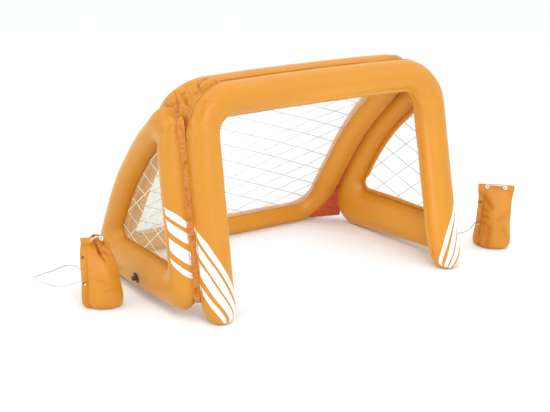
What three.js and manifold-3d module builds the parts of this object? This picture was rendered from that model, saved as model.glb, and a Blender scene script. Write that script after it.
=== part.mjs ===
// An inflatable pool goal: four air chambers with clear film windows, plug valves,
// and two weighted bags on cords.
// Millimetres, +Z up. The mouth faces -Y and the goal stands on the plane Z = 0.
import * as THREE from 'three';
import * as BufferGeometryUtils from 'three/addons/utils/BufferGeometryUtils.js';
import Module from 'manifold-3d';

const wasm = await Module();
wasm.setup();

// General clearances and mesh fineness
const seatGap = 0.3;
const floorSink = 6;
const cutOverrun = 40;
const tubeSides = 16;
const arcSteps = 7;

// Front arch
const archFootHalfSpan = 537;
const archTopHalfSpan = 523;
const archTopHeight = 753;
const archLean = 165;
const archTubeRadius = 60.5;
const archCornerRadius = 112;
const archFootRounding = 62;
const archFootTipShare = 0.06;
const archBarSteps = 4;

// Side frames, each a triangle of one tube
const sidePostRadius = 52;
const sidePostBearing = THREE.MathUtils.degToRad(42);
const sideToeIn = 38;
const sideToeRise = 32;
const sideBottomHeight = 165;
const sideBottomSwell = 4;
const sideSlantThickness = 47;
const sideSlantWidth = 98;
const sideRoundnessShare = 1.05;
const sideHeelInset = 50;
const sideElbowReachShare = 0.6643;
const sideTopHeight = 795;
const sideElbowShare = 0.6214;
const sideHeelRadius = 100;
const sideToeRadius = 75;
const sideTopRadius = 75;
const windowToeRadius = 34;
const windowHeelRadius = 36;
const windowTopRadius = 20;
const windowElbowShare = 0.905;

// Back frame, a loop that leans forward from the rear bar to the top bar
const backTopRadius = 56;
const backSideRadius = 52.6;
const rearBarRadius = 44.5;
const backTopRise = 4;
const rearBarReach = 786;
const backElbowReachShare = 0.6934;
const backElbowHeight = 463;
const backElbowRadius = 1100;
const backSetBack = 51;
const backTopCornerRadius = 150;
const backHeelCornerRadius = 140;
const netTopCornerRadius = 55;
const netHeelCornerRadius = 62;

// Film windows
const filmThickness = 1;

// Joint strips and floor gussets
const stripSetIn = 8;
const stripReach = 24;
const stripHalfWidth = 16;
const postStripLow = 95;
const postStripHigh = 680;
const barStripHalfSpan = 385;
const webThickness = 3;
const gussetHeight = 14;
const gussetReach = 50;
const gussetWidth = 145;
const gussetOverlap = 16;
const gussetDrop = 26;
const gussetCrest = 14;

// Valves
const valveBore = 5.2;
const valveFlangeRadius = 20;
const valveFlangeRim = 1.5;
const valveFlangeCrown = 3.5;
const valveStemRadius = 8;
const valveHeight = 12;
const valveSink = 8;
const valveHingeReach = 13;
const valveStrapWidth = 7;
const valveStrapThickness = 1.6;
const valveLugThickness = 2.5;
const plugRadius = 4.6;
const plugLength = 4;
const capRadius = 9;
const capThickness = 2.5;
const sideValveShare = 0.5;
const sideValveDrop = THREE.MathUtils.degToRad(14);
const archValveHeight = 200;
const archValveBearing = THREE.MathUtils.degToRad(30);
const backValveOffset = 320;

// Anchor bags
const bagHeight = 266;
const bagHalfWidth = 77;
const bagHalfDepth = 52;
const bagFinWidth = 20;
const bagSheet = 3;
const bagArcSteps = 12;
const bagFoldRadius = 12;
const bagFoldEaseShare = 3;
const bagFoldBalanceShare = 0.4;
const bagFoldLowShare = 0.45;
const bagFoldHighShare = 0.93;
const bagRingReach = 36;
const bagRingDrop = 11;
const bagLowerEyelet = 95;
const bagUpperEyelet = 188;

const leftBagAcross = 803;
const leftBagDepth = 345;
const leftBagLean = 24;
const leftBagTurn = THREE.MathUtils.degToRad(-10);
const leftBagFold = THREE.MathUtils.degToRad(56);
const rightBagAcross = 870;
const rightBagDepth = 81;
const rightBagLean = 4;
const rightBagTurn = THREE.MathUtils.degToRad(-44.5);
const rightBagFold = THREE.MathUtils.degToRad(6);

// Eyelets, handles and tethers
const roundSides = 16;
const eyeletWall = 1.2;
const eyeletFlange = 1.2;
const eyeletLanding = 9;
const ringBore = 4;
const ringFlange = 9;
const tetherBore = 3;
const tetherFlange = 5.6;
const handleCordRadius = 2.2;
const handleKnotRadius = 5;
const handleTilt = THREE.MathUtils.degToRad(-20);
const handleLead = 7;
const handleBend = 8;
const handleRise = 9;
const handleSteps = 12;
const tabShare = 0.93;
const tabHeight = 45;
const tabReach = 19;
const tabOverlap = 15;
const tabHalfWidth = 12;
const tabThickness = 3;
const tetherRadius = 2.5;
const tetherSides = 8;
const tetherSteps = 78;
const tetherLead = 14;
const tetherDrop = 18;
const tetherKnotRadius = 6;
const tetherKnotHeightShare = 1.5;

const vector = (x, y, z) => new THREE.Vector3(x, y, z);
const flat = (x, y) => new THREE.Vector2(x, y);

// Materials
const material = (color, roughness, metalness = 0) =>
  new THREE.MeshStandardMaterial({ color, roughness, metalness });
const orangeVinyl = material(0xec9f3e, 0.38);
const seamVinyl = material(0xc8581c, 0.45);
const clearFilm = new THREE.MeshStandardMaterial({
  color: 0xeef2f4, roughness: 0.2, transparent: true, opacity: 0.35,
});
const blackPlastic = material(0x1e1e1e, 0.4);
const whitePlastic = material(0xf1f2f2, 0.4);
const whiteCord = material(0xf4f4f2, 0.8);

const goal = new THREE.Group();
function addMesh(name, geometry, look, group = goal) {
  const mesh = new THREE.Mesh(geometry, look);
  mesh.name = name;
  group.add(mesh);
  return mesh;
}

const middle = (ring) =>
  ring.reduce((sum, p) => sum.add(p), vector(0, 0, 0)).divideScalar(ring.length);

// A closed skin over a row of rings: a loop joins its last ring to its first,
// and anything else gets end caps.
function loft(rings, isLoop) {
  const sides = rings[0].length;
  const caps = isLoop ? [] : [middle(rings[0]), middle(rings[rings.length - 1])];
  const positions = [...rings.flat(), ...caps].flatMap((p) => [p.x, p.y, p.z]);
  const index = [];
  const spans = isLoop ? rings.length : rings.length - 1;
  for (let i = 0; i < spans; i += 1) {
    const here = i * sides;
    const there = ((i + 1) % rings.length) * sides;
    for (let j = 0; j < sides; j += 1) {
      const next = (j + 1) % sides;
      index.push(here + j, here + next, there + next, here + j, there + next, there + j);
    }
  }
  if (!isLoop) {
    const end = (rings.length - 1) * sides;
    const firstCap = rings.length * sides;
    for (let j = 0; j < sides; j += 1) {
      const next = (j + 1) % sides;
      index.push(firstCap, next, j, firstCap + 1, end + j, end + next);
    }
  }
  const geometry = new THREE.BufferGeometry();
  geometry.setAttribute('position', new THREE.Float32BufferAttribute(positions, 3));
  geometry.setIndex(signedVolume(positions, index) < 0 ? index.reverse() : index);
  geometry.computeVertexNormals();
  return geometry;
}

function signedVolume(positions, index) {
  const corner = (i) => vector(...positions.slice(3 * i, 3 * i + 3));
  let total = 0;
  for (let k = 0; k < index.length; k += 3) {
    total += corner(index[k]).dot(corner(index[k + 1]).cross(corner(index[k + 2])));
  }
  return total;
}

// An oval ring about a centre, with one half axis along each of two directions.
function ovalRing(centre, along, across, halfAlong, halfAcross, sides = tubeSides) {
  return Array.from({ length: sides }, (_, k) => {
    const angle = (2 * Math.PI * k) / sides;
    return centre.clone()
      .addScaledVector(along, halfAlong * Math.cos(angle))
      .addScaledVector(across, halfAcross * Math.sin(angle));
  });
}

const onFloor = (ring) => ring.map((p) => vector(p.x, p.y, Math.max(p.z, 0)));

// A rounded outline through corners: each corner is an arc, and every edge has
// the same count of points each time.
function roundedOutline(corners, radii, edgeSteps) {
  const count = corners.length;
  const arcs = corners.map((corner, k) => {
    const back = corners[(k + count - 1) % count].clone().sub(corner).normalize();
    const ahead = corners[(k + 1) % count].clone().sub(corner).normalize();
    const halfAngle = Math.acos(THREE.MathUtils.clamp(back.dot(ahead), -1, 1)) / 2;
    const bisector = back.clone().add(ahead).normalize();
    const centre = corner.clone().addScaledVector(bisector, radii[k] / Math.sin(halfAngle));
    const setback = radii[k] / Math.tan(halfAngle);
    const from = corner.clone().addScaledVector(back, setback).sub(centre);
    const to = corner.clone().addScaledVector(ahead, setback).sub(centre);
    const turn = Math.atan2(from.cross(to), from.dot(to));
    return Array.from({ length: arcSteps + 1 }, (_, i) =>
      from.clone().rotateAround(flat(0, 0), (turn * i) / arcSteps).add(centre));
  });
  return arcs.flatMap((arc, k) => {
    const start = arc[arcSteps];
    const end = arcs[(k + 1) % count][0];
    const edge = Array.from({ length: edgeSteps[k] - 1 }, (_, i) =>
      start.clone().lerp(end, (i + 1) / edgeSteps[k]));
    return [...arc, ...edge];
  });
}

// Where the arc of an outline's corner starts in its list of points
const cornerStart = (corner, edgeSteps) =>
  edgeSteps.slice(0, corner).reduce((sum, steps) => sum + steps + arcSteps, 0);

// Front arch: one tube along two leaning posts and the top bar
const archFoot = vector(archFootHalfSpan, 0, 0);
const archTop = vector(archTopHalfSpan, archLean, archTopHeight);
const postAxis = archTop.clone().sub(archFoot).normalize();
const mirror = (p) => vector(-p.x, p.y, p.z);

function archPath() {
  const corners = [archFoot, archTop, mirror(archTop), mirror(archFoot)];
  const rounded = (corner, from, to) => {
    const back = from.clone().sub(corner).normalize();
    const ahead = to.clone().sub(corner).normalize();
    const halfAngle = Math.acos(back.dot(ahead)) / 2;
    const setback = archCornerRadius / Math.tan(halfAngle);
    const centre = corner.clone().addScaledVector(back.clone().add(ahead).normalize(),
      archCornerRadius / Math.sin(halfAngle));
    const start = corner.clone().addScaledVector(back, setback).sub(centre);
    const axis = start.clone().cross(corner.clone().addScaledVector(ahead, setback).sub(centre)).normalize();
    const turn = Math.PI - 2 * halfAngle;
    return Array.from({ length: arcSteps + 1 }, (_, i) =>
      start.clone().applyAxisAngle(axis, (turn * i) / arcSteps).add(centre));
  };
  const right = rounded(corners[1], corners[0], corners[2]);
  const left = rounded(corners[2], corners[1], corners[3]);
  return { right, left };
}

function archRings(swell) {
  const { right, left } = archPath();
  const rise = (fraction) => archFoot.clone().lerp(right[0], fraction);
  const postLength = right[0].distanceTo(archFoot);
  const footShares = [0, 0.05, 0.16, 0.36, 0.66, 1];
  const footRows = footShares.map((share) => ({
    centre: rise((share * archFootRounding) / postLength),
    radius: archTubeRadius * Math.sqrt(Math.max(1 - (1 - share) ** 2, archFootTipShare)),
  }));
  const postShares = [0.3, 0.5, 0.75];
  const postRows = postShares.map((share) => ({ centre: rise(share), radius: archTubeRadius }));
  const half = [...footRows, ...postRows, ...right.map((centre) => ({ centre, radius: archTubeRadius }))];
  const otherHalf = half.map(({ centre, radius }) => ({ centre: mirror(centre), radius })).reverse();
  const bar = Array.from({ length: archBarSteps - 1 }, (_, i) => ({
    centre: right[arcSteps].clone().lerp(left[0], (i + 1) / archBarSteps), radius: archTubeRadius,
  }));
  const rows = [...half, ...bar, ...otherHalf];
  const planeNormal = postAxis.clone().cross(vector(1, 0, 0)).normalize();
  return rows.map(({ centre, radius }, i) => {
    const before = rows[Math.max(i - 1, 0)].centre;
    const after = rows[Math.min(i + 1, rows.length - 1)].centre;
    const tangent = after.clone().sub(before).normalize();
    const across = planeNormal.clone().cross(tangent).normalize();
    const ring = ovalRing(centre.clone().setZ(centre.z - floorSink), across, planeNormal,
      radius + swell, radius + swell);
    return onFloor(ring);
  });
}
addMesh('front_arch', loft(archRings(0), false), orangeVinyl);

// Side frames: drawn in (depth, height) and carried onto a plane that toes in towards the rear
const spacing = archTubeRadius + sidePostRadius + seatGap;
const bearing = vector(Math.sin(sidePostBearing), Math.cos(sidePostBearing), 0);
const bearingReach = spacing / Math.sqrt(1 - bearing.dot(postAxis) ** 2);
const sideFoot = archFoot.clone().addScaledVector(bearing, bearingReach);
const leanRate = archLean / archTopHeight;
const toeRate = sideToeIn / (rearBarReach - sideFoot.y);
const tiltRate = (archFootHalfSpan - archTopHalfSpan) / archTopHeight - toeRate * leanRate;
const sidePlane = (depth, height) =>
  vector(sideFoot.x - toeRate * (depth - sideFoot.y) - tiltRate * height, depth, height);
const sideNormal = vector(1, toeRate, tiltRate).normalize();

const postEdge = sidePostRadius / Math.cos(Math.atan(leanRate));
const postLine = (height, side) => flat(sideFoot.y + leanRate * height + side * postEdge, height);

// The corner where the line through a point along a direction meets the post's edge line
function meetPost(point, direction, side) {
  const reach = (postLine(point.y, side).x - point.x) / (direction.x - leanRate * direction.y);
  return point.clone().addScaledVector(direction, reach);
}

const outerToe = postLine(sideToeRise, -1);
const outerHeel = flat(rearBarReach + rearBarRadius - sideHeelInset, 0);
const outerElbow = flat(THREE.MathUtils.lerp(sideFoot.y, outerHeel.x, sideElbowReachShare),
  sideElbowShare * sideTopHeight);
const outerTop = postLine(sideTopHeight, -1);
const lowerSlant = outerElbow.clone().sub(outerHeel).normalize();
const upperSlant = outerTop.clone().sub(outerElbow).normalize();
const inward = (direction) => flat(-direction.y, direction.x);

const lowerPoint = outerHeel.clone().addScaledVector(inward(lowerSlant), sideSlantWidth);
const upperPoint = outerElbow.clone().addScaledVector(inward(upperSlant), sideSlantWidth);
const innerHeel = lowerPoint.clone()
  .addScaledVector(lowerSlant, (sideBottomHeight - lowerPoint.y) / lowerSlant.y);
const crossing = (a, u, b, v) => a.clone().addScaledVector(u, b.clone().sub(a).cross(v) / u.cross(v));
const innerElbow = crossing(lowerPoint, lowerSlant, upperPoint, upperSlant);
const innerTop = meetPost(upperPoint, upperSlant, 1);
const innerToe = postLine(sideBottomHeight, 1);

// The elbow bends as widely as the window's slanting edges leave room for
function setbackOf(before, corner, after, radius) {
  const back = before.clone().sub(corner).normalize();
  const ahead = after.clone().sub(corner).normalize();
  return radius / Math.tan(Math.acos(back.dot(ahead)) / 2);
}
const heelSetback = setbackOf(innerToe, innerHeel, innerElbow, windowHeelRadius);
const topSetback = setbackOf(innerElbow, innerTop, innerToe, windowTopRadius);
const elbowRoom = Math.min(innerHeel.distanceTo(innerElbow) - heelSetback,
  innerElbow.distanceTo(innerTop) - topSetback);
const elbowTurn = Math.acos(lowerSlant.dot(upperSlant));
const windowElbowRadius = (windowElbowShare * elbowRoom) / Math.tan(elbowTurn / 2);

const sideEdgeSteps = [5, 4, 4, 4];
const sideOuter = roundedOutline([outerToe, outerHeel, outerElbow, outerTop],
  [sideToeRadius, sideHeelRadius, windowElbowRadius + sideSlantWidth, sideTopRadius], sideEdgeSteps);
const sideInner = roundedOutline([innerToe, innerHeel, innerElbow, innerTop],
  [windowToeRadius, windowHeelRadius, windowElbowRadius, windowTopRadius], sideEdgeSteps);

// How thick the side tube is along its loop: post, swollen bottom tube, slanting tube
function sideThickness(k) {
  const bottomStart = arcSteps;
  const bottomEnd = bottomStart + sideEdgeSteps[0];
  const share = THREE.MathUtils.clamp((k - bottomStart) / (bottomEnd - bottomStart), 0, 1);
  const base = THREE.MathUtils.lerp(sidePostRadius, sideSlantThickness, share);
  const onPost = k > cornerStart(3, sideEdgeSteps) + arcSteps;
  return (onPost ? sidePostRadius : base) + sideBottomSwell * Math.sin(Math.PI * share);
}

function sideRings(sign, swell) {
  return sideOuter.map((outer, k) => {
    const inner = sideInner[k];
    const a = sidePlane(outer.x, outer.y);
    const b = sidePlane(inner.x, inner.y);
    const along = a.clone().sub(b);
    const half = along.length() / 2;
    along.normalize();
    const across = along.clone().cross(sideNormal).cross(along).normalize();
    const centre = a.add(b).multiplyScalar(0.5);
    centre.z -= floorSink;
    const thick = Math.min(sideThickness(k), half * sideRoundnessShare);
    const ring = ovalRing(centre, along, across, half + swell, thick + swell);
    return onFloor(ring).map((p) => vector(sign * p.x, p.y, p.z));
  });
}
for (const [side, sign] of [['left', -1], ['right', 1]]) {
  addMesh(`${side}_side_frame`, loft(sideRings(sign, 0), true), orangeVinyl);
}

// Back frame: a loop drawn in (half width, run), carried onto a profile that climbs
// from the rear bar to the top bar
const barSpacing = archTubeRadius + backTopRadius + seatGap;
const backTop = flat(archTop.y + Math.sqrt(barSpacing ** 2 - backTopRise ** 2), archTopHeight + backTopRise);
const backElbow = flat(backElbowReachShare * rearBarReach, backElbowHeight);
const rearBar = flat(rearBarReach, rearBarRadius);
const profileSteps = 24;

function backProfile() {
  const down = rearBar.clone().sub(backElbow).normalize();
  const up = backTop.clone().sub(backElbow).normalize();
  const halfAngle = Math.acos(down.dot(up)) / 2;
  const setback = backElbowRadius / Math.tan(halfAngle);
  const centre = backElbow.clone()
    .addScaledVector(down.clone().add(up).normalize(), backElbowRadius / Math.sin(halfAngle));
  const from = backElbow.clone().addScaledVector(down, setback).sub(centre);
  const turn = Math.PI - 2 * halfAngle;
  const arc = Array.from({ length: profileSteps + 1 }, (_, i) =>
    from.clone().rotateAround(flat(0, 0), (turn * i) / profileSteps).add(centre));
  return [rearBar, ...arc, backTop];
}
const profile = backProfile();
const profileRuns = profile.map((_, i) =>
  profile.slice(1, i + 1).reduce((sum, p, k) => sum + p.distanceTo(profile[k]), 0));
const profileLength = profileRuns[profile.length - 1];

// Point and direction of the profile at a run from the rear bar; past either end it goes straight on.
function onProfile(run) {
  let k = profileRuns.findIndex((r) => r > run) - 1;
  if (k < 0) k = run <= 0 ? 0 : profile.length - 2;
  const direction = profile[k + 1].clone().sub(profile[k]).normalize();
  return { point: profile[k].clone().addScaledVector(direction, run - profileRuns[k]), direction };
}

const neighbourSpacing = sideSlantWidth / 2 + backSideRadius + seatGap;
const sideways = Math.sqrt(neighbourSpacing ** 2 - backSetBack ** 2);
const backHalf = (run) => {
  const { point } = onProfile(run);
  return sidePlane(point.x, point.y).x - sideways;
};
const backRuns = { outer: [-rearBarRadius, profileLength + backTopRadius],
  inner: [rearBarRadius, profileLength - backTopRadius] };
const backCorners = (runs, side) => [[1, 0], [1, 1], [-1, 1], [-1, 0]].map(([sign, end]) =>
  flat(sign * (backHalf(runs[end]) + side * backSideRadius), runs[end]));
const backEdgeSteps = [12, 5, 12, 5];
const backOuter = roundedOutline(backCorners(backRuns.outer, 1),
  [backHeelCornerRadius, backTopCornerRadius, backTopCornerRadius, backHeelCornerRadius], backEdgeSteps);
const backInner = roundedOutline(backCorners(backRuns.inner, -1),
  [netHeelCornerRadius, netTopCornerRadius, netTopCornerRadius, netHeelCornerRadius], backEdgeSteps);

const backPoint = (width, run) => {
  const { point } = onProfile(run);
  return vector(width, point.x, point.y);
};

function backRings(swell) {
  return backOuter.map((outer, k) => {
    const inner = backInner[k];
    const run = (outer.y + inner.y) / 2;
    const { direction } = onProfile(run);
    const normal = vector(0, direction.y, -direction.x);
    const a = backPoint(outer.x, outer.y);
    const b = backPoint(inner.x, inner.y);
    const along = a.clone().sub(b);
    const half = along.length() / 2;
    along.normalize();
    const across = along.clone().cross(normal).cross(along).normalize();
    const centre = a.add(b).multiplyScalar(0.5);
    centre.z -= floorSink;
    const share = THREE.MathUtils.clamp(run / profileLength, 0, 1);
    const thickness = THREE.MathUtils.lerp(rearBarRadius, backTopRadius, share);
    return onFloor(ovalRing(centre, along, across, half + swell, Math.min(thickness, half) + swell));
  });
}
addMesh('back_frame', loft(backRings(0), true), orangeVinyl);

// Solids for cutting: each chamber a little enlarged, so that what it cuts keeps a clear gap
function toSolid(geometry, matrix = new THREE.Matrix4()) {
  const bare = geometry.clone().applyMatrix4(matrix);
  bare.deleteAttribute('normal');
  bare.deleteAttribute('uv');
  const merged = BufferGeometryUtils.mergeVertices(bare);
  return new wasm.Manifold(new wasm.Mesh({
    numProp: 3,
    vertProperties: merged.attributes.position.array,
    triVerts: new Uint32Array(merged.index.array),
  }));
}

function toGeometry(solid) {
  const mesh = solid.getMesh();
  const geometry = new THREE.BufferGeometry();
  geometry.setAttribute('position', new THREE.BufferAttribute(new Float32Array(mesh.vertProperties), 3));
  geometry.setIndex(new THREE.BufferAttribute(new Uint32Array(mesh.triVerts), 1));
  geometry.computeVertexNormals();
  return geometry;
}

// A geometry less some solids. The matrix says where the geometry stands,
// and the result is back in its own frame.
function trimmed(geometry, cutters, matrix = new THREE.Matrix4()) {
  const cut = cutters.reduce((solid, cutter) => solid.subtract(cutter), toSolid(geometry, matrix));
  return toGeometry(cut).applyMatrix4(matrix.clone().invert());
}

const sides = [['left', -1], ['right', 1]];
const archCutter = toSolid(loft(archRings(seatGap), false));
const backCutter = toSolid(loft(backRings(seatGap), true));
const sideCutters = Object.fromEntries(sides.map(([side, sign]) =>
  [side, toSolid(loft(sideRings(sign, seatGap), true))]));

// Window films: thin sheets welded to the inner seam of each frame
const filmEdge = (outline, matched) => outline.map((p, k) =>
  p.clone().add(p.clone().sub(matched[k]).setLength(seatGap)));

function plate(outline, place, normal, thickness) {
  const faces = THREE.ShapeUtils.triangulateShape(outline, []);
  const count = outline.length;
  const near = outline.map((p) => place(p.x, p.y).addScaledVector(normal, -thickness / 2));
  const far = outline.map((p) => place(p.x, p.y).addScaledVector(normal, thickness / 2));
  const positions = [...near, ...far].flatMap((p) => [p.x, p.y, p.z]);
  const index = faces.flatMap(([a, b, c]) => [a, c, b, a + count, b + count, c + count]);
  for (let k = 0; k < count; k += 1) {
    const next = (k + 1) % count;
    index.push(k, next, next + count, k, next + count, k + count);
  }
  const geometry = new THREE.BufferGeometry();
  geometry.setAttribute('position', new THREE.Float32BufferAttribute(positions, 3));
  geometry.setIndex(signedVolume(positions, index) < 0 ? index.reverse() : index);
  geometry.computeVertexNormals();
  return geometry;
}

for (const [side, sign] of sides) {
  const place = (depth, height) => {
    const p = sidePlane(depth, height);
    return vector(sign * p.x, p.y, p.z - floorSink);
  };
  const normal = vector(sign * sideNormal.x, sideNormal.y, sideNormal.z);
  const edge = filmEdge(sideInner, sideOuter);
  addMesh(`${side}_window_film`, plate(edge, place, normal, filmThickness), clearFilm);
}

const backFilmRings = filmEdge(backInner, backOuter)
  .slice(0, 2 * arcSteps + backEdgeSteps[0] + 1)
  .map((edge) => {
    const { direction } = onProfile(edge.y);
    const offset = vector(0, direction.y, -direction.x).multiplyScalar(filmThickness / 2);
    return [[-1, 1], [1, 1], [1, -1], [-1, -1]].map(([across, face]) => {
      const p = backPoint(across * edge.x, edge.y).addScaledVector(offset, face);
      return p.setZ(p.z - floorSink);
    });
  });
addMesh('back_window_film', loft(backFilmRings, false), clearFilm);

// Joint strips: welded vinyl that fills the valley between two tubes
const stripRing = (contact, outward, across) => [[1, 0], [1, 1], [-1, 1], [-1, 0]].map(([hand, end]) =>
  contact.clone()
    .addScaledVector(outward, end ? stripReach : stripSetIn)
    .addScaledVector(across, hand * stripHalfWidth));

const postStripRings = (sign) => [postStripLow, postStripHigh].map((height) => {
  const contact = archFoot.clone()
    .addScaledVector(postAxis, height / postAxis.z)
    .addScaledVector(bearing, (bearingReach * (archTubeRadius + seatGap / 2)) / spacing);
  const outward = postAxis.clone().cross(bearing).normalize();
  outward.multiplyScalar(-Math.sign(outward.y));
  const across = outward.clone().cross(postAxis).normalize();
  contact.z -= floorSink;
  return stripRing(contact, outward, across).map((p) => vector(sign * p.x, p.y, p.z));
});

function barStripRings() {
  const towards = vector(0, backTop.x - archTop.y, backTop.y - archTop.z).normalize();
  const outward = vector(0, -towards.z, towards.y);
  return [-1, 1].map((sign) => {
    const contact = vector(sign * barStripHalfSpan, archTop.y, archTop.z - floorSink)
      .addScaledVector(towards, archTubeRadius + seatGap / 2);
    return stripRing(contact, outward, towards);
  });
}

function slantStripRings(sign) {
  const first = arcSteps + 1;
  return backOuter.slice(first, first + backEdgeSteps[0] - 1).map((outer, i) => {
    const inner = backInner[first + i];
    const { direction } = onProfile((outer.y + inner.y) / 2);
    const normal = vector(0, direction.y, -direction.x);
    const centre = backPoint((outer.x + inner.x) / 2, (outer.y + inner.y) / 2);
    centre.z -= floorSink;
    const towards = vector(sideways, 0, 0).addScaledVector(normal, -backSetBack).normalize();
    const outward = vector(-backSetBack, 0, 0).addScaledVector(normal, -sideways).normalize();
    centre.addScaledVector(towards, backSideRadius + seatGap / 2);
    return stripRing(centre, outward, towards).map((p) => vector(sign * p.x, p.y, p.z));
  });
}

for (const [side, sign] of sides) {
  addMesh(`${side}_post_seam`,
    trimmed(loft(postStripRings(sign), false), [archCutter, sideCutters[side]]), orangeVinyl);
  addMesh(`${side}_slant_seam`,
    trimmed(loft(slantStripRings(sign), false), [backCutter, sideCutters[side]]), seamVinyl);
}
addMesh('top_bar_seam', trimmed(loft(barStripRings(), false), [archCutter, backCutter]), orangeVinyl);

// A thin flat web between three corners; a crest widens its third corner to both sides
function web([first, second, third], crest) {
  const across = second.clone().sub(first);
  const normal = across.clone().cross(third.clone().sub(first)).normalize();
  const u = across.clone().normalize();
  const v = normal.clone().cross(u);
  const drawn = (p) => flat(p.clone().sub(first).dot(u), p.clone().sub(first).dot(v));
  const top = drawn(third);
  const tip = crest > 0 ? [flat(top.x + crest, top.y), flat(top.x - crest, top.y)] : [top];
  const place = (a, b) => first.clone().addScaledVector(u, a).addScaledVector(v, b);
  return plate([flat(0, 0), drawn(second), ...tip], place, normal, webThickness);
}

// Floor gussets: webs that close each inner rear corner, from the floor up to the slanting seam
for (const [side, sign] of sides) {
  const tubeLine = sidePlane(rearBarReach, 0).x;
  const rear = rearBarReach - rearBarRadius + gussetOverlap;
  const crown = middle(slantStripRings(sign)[0]);
  const corners = [
    vector(sign * tubeLine, rear - gussetReach, gussetHeight),
    vector(sign * (tubeLine - gussetWidth), rear, gussetHeight),
    crown.setZ(crown.z - gussetDrop),
  ];
  addMesh(`${side}_floor_gusset`,
    trimmed(web(corners, gussetCrest), [backCutter, sideCutters[side]]), seamVinyl);
}

// Top corner webs: crumpled patches that close the gap where arch, side frame and back frame part ways
for (const [side, sign] of sides) {
  const tubeCentre = (outer, inner, place) => {
    const p = place(outer.x, outer.y).add(place(inner.x, inner.y)).multiplyScalar(1 / 2);
    return vector(sign * p.x, p.y, p.z - floorSink);
  };
  const half = Math.floor(arcSteps / 2);
  const backCorner = cornerStart(1, backEdgeSteps) + half;
  const sideCorner = cornerStart(3, sideEdgeSteps) + half;
  const arch = archPath().right[half];
  const corners = [
    vector(sign * arch.x, arch.y, arch.z - floorSink),
    tubeCentre(backOuter[backCorner], backInner[backCorner], backPoint),
    tubeCentre(sideOuter[sideCorner], sideInner[sideCorner], sidePlane),
  ];
  addMesh(`${side}_top_web`,
    trimmed(web(corners, 0), [archCutter, backCutter, sideCutters[side]]), orangeVinyl);
}

// A turned frame at a place: local Z along one direction, and local X as near as can be to another
function frameAt(point, zAxis, xHint) {
  const z = zAxis.clone().normalize();
  const x = xHint.clone().addScaledVector(z, -xHint.dot(z)).normalize();
  return new THREE.Matrix4().makeBasis(x, z.clone().cross(x), z).setPosition(point);
}

function framedGroup(matrix) {
  const group = new THREE.Group();
  matrix.decompose(group.position, group.quaternion, group.scale);
  goal.add(group);
  return group;
}

const ringProfile = (points) => {
  const profile = points.map(([radius, height]) => flat(radius, height));
  return new THREE.LatheGeometry([...profile, profile[0].clone()], roundSides).rotateX(Math.PI / 2);
};

// Valves: a flange welded to the tube, a stem with a bore, and a plug cap on a living hinge
const valveBody = () => {
  const stem = toSolid(ringProfile([
    [valveBore, -valveSink], [valveFlangeRadius, -valveSink], [valveFlangeRadius, valveFlangeRim],
    [valveStemRadius, valveFlangeCrown], [valveStemRadius, valveHeight], [valveBore, valveHeight],
  ]));
  const lug = new THREE.BoxGeometry(valveHingeReach - valveBore, valveStrapWidth, valveLugThickness)
    .translate((valveHingeReach + valveBore) / 2, 0, valveHeight - valveLugThickness / 2);
  const bore = new THREE.CylinderGeometry(valveBore, valveBore, cutOverrun, roundSides).rotateX(Math.PI / 2);
  return toGeometry(stem.add(toSolid(lug)).subtract(toSolid(bore)));
};

const valveCap = () => {
  const seat = valveHeight + seatGap;
  const plug = toSolid(new THREE.LatheGeometry([
    flat(0, seat - plugLength), flat(plugRadius, seat - plugLength), flat(plugRadius, seat),
    flat(capRadius, seat), flat(capRadius, seat + capThickness), flat(0, seat + capThickness),
  ], roundSides).rotateX(Math.PI / 2));
  const strap = new THREE.BoxGeometry(valveHingeReach, valveStrapWidth, valveStrapThickness)
    .translate(valveHingeReach / 2, 0, seat + valveStrapThickness / 2);
  return toGeometry(plug.add(toSolid(strap)));
};

function addValve(name, seat, outward, hingeSide, cutter) {
  const matrix = frameAt(seat, outward, hingeSide);
  const group = framedGroup(matrix);
  addMesh(`${name}_valve`, trimmed(valveBody(), [cutter], matrix), blackPlastic, group);
  addMesh(`${name}_valve_cap`, valveCap(), blackPlastic, group);
}

// A place on the outer skin of a side frame's bottom tube: a share of its length, and an angle below level
function bottomSkin(sign, lengthShare, drop) {
  const start = arcSteps;
  const end = start + sideEdgeSteps[0];
  const outer = sideOuter[start].clone().lerp(sideOuter[end], lengthShare);
  const inner = sideInner[start].clone().lerp(sideInner[end], lengthShare);
  const low = sidePlane(outer.x, outer.y);
  const high = sidePlane(inner.x, inner.y);
  const along = low.clone().sub(high);
  const half = along.length() / 2;
  along.normalize();
  const across = along.clone().cross(sideNormal).cross(along).normalize();
  const thickness = THREE.MathUtils.lerp(sidePostRadius, sideSlantThickness, lengthShare)
    + sideBottomSwell * Math.sin(Math.PI * lengthShare);
  const point = low.add(high).multiplyScalar(1 / 2)
    .addScaledVector(across, thickness * Math.cos(drop))
    .addScaledVector(along, half * Math.sin(drop));
  const outward = across.multiplyScalar(Math.cos(drop) / thickness)
    .addScaledVector(along, Math.sin(drop) / half).normalize();
  return {
    point: vector(sign * point.x, point.y, point.z - floorSink),
    outward: vector(sign * outward.x, outward.y, outward.z),
  };
}

for (const [side, sign] of sides) {
  const { point, outward } = bottomSkin(sign, sideValveShare, sideValveDrop);
  addValve(`${side}_side`, point, outward, vector(0, 1, 0), sideCutters[side]);
}

const leftPostAxis = mirror(postAxis);
const archValveAway = vector(Math.sin(archValveBearing), Math.cos(archValveBearing), 0);
archValveAway.addScaledVector(leftPostAxis, -archValveAway.dot(leftPostAxis)).normalize();
const archValveSeat = mirror(archFoot).addScaledVector(leftPostAxis, archValveHeight / leftPostAxis.z)
  .addScaledVector(archValveAway, archTubeRadius);
archValveSeat.z -= floorSink;
addValve('arch', archValveSeat, archValveAway, leftPostAxis, archCutter);
addValve('back', vector(backValveOffset, rearBar.x + rearBarRadius, rearBar.y - floorSink),
  vector(0, 1, 0), vector(1, 0, 0), backCutter);

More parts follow.
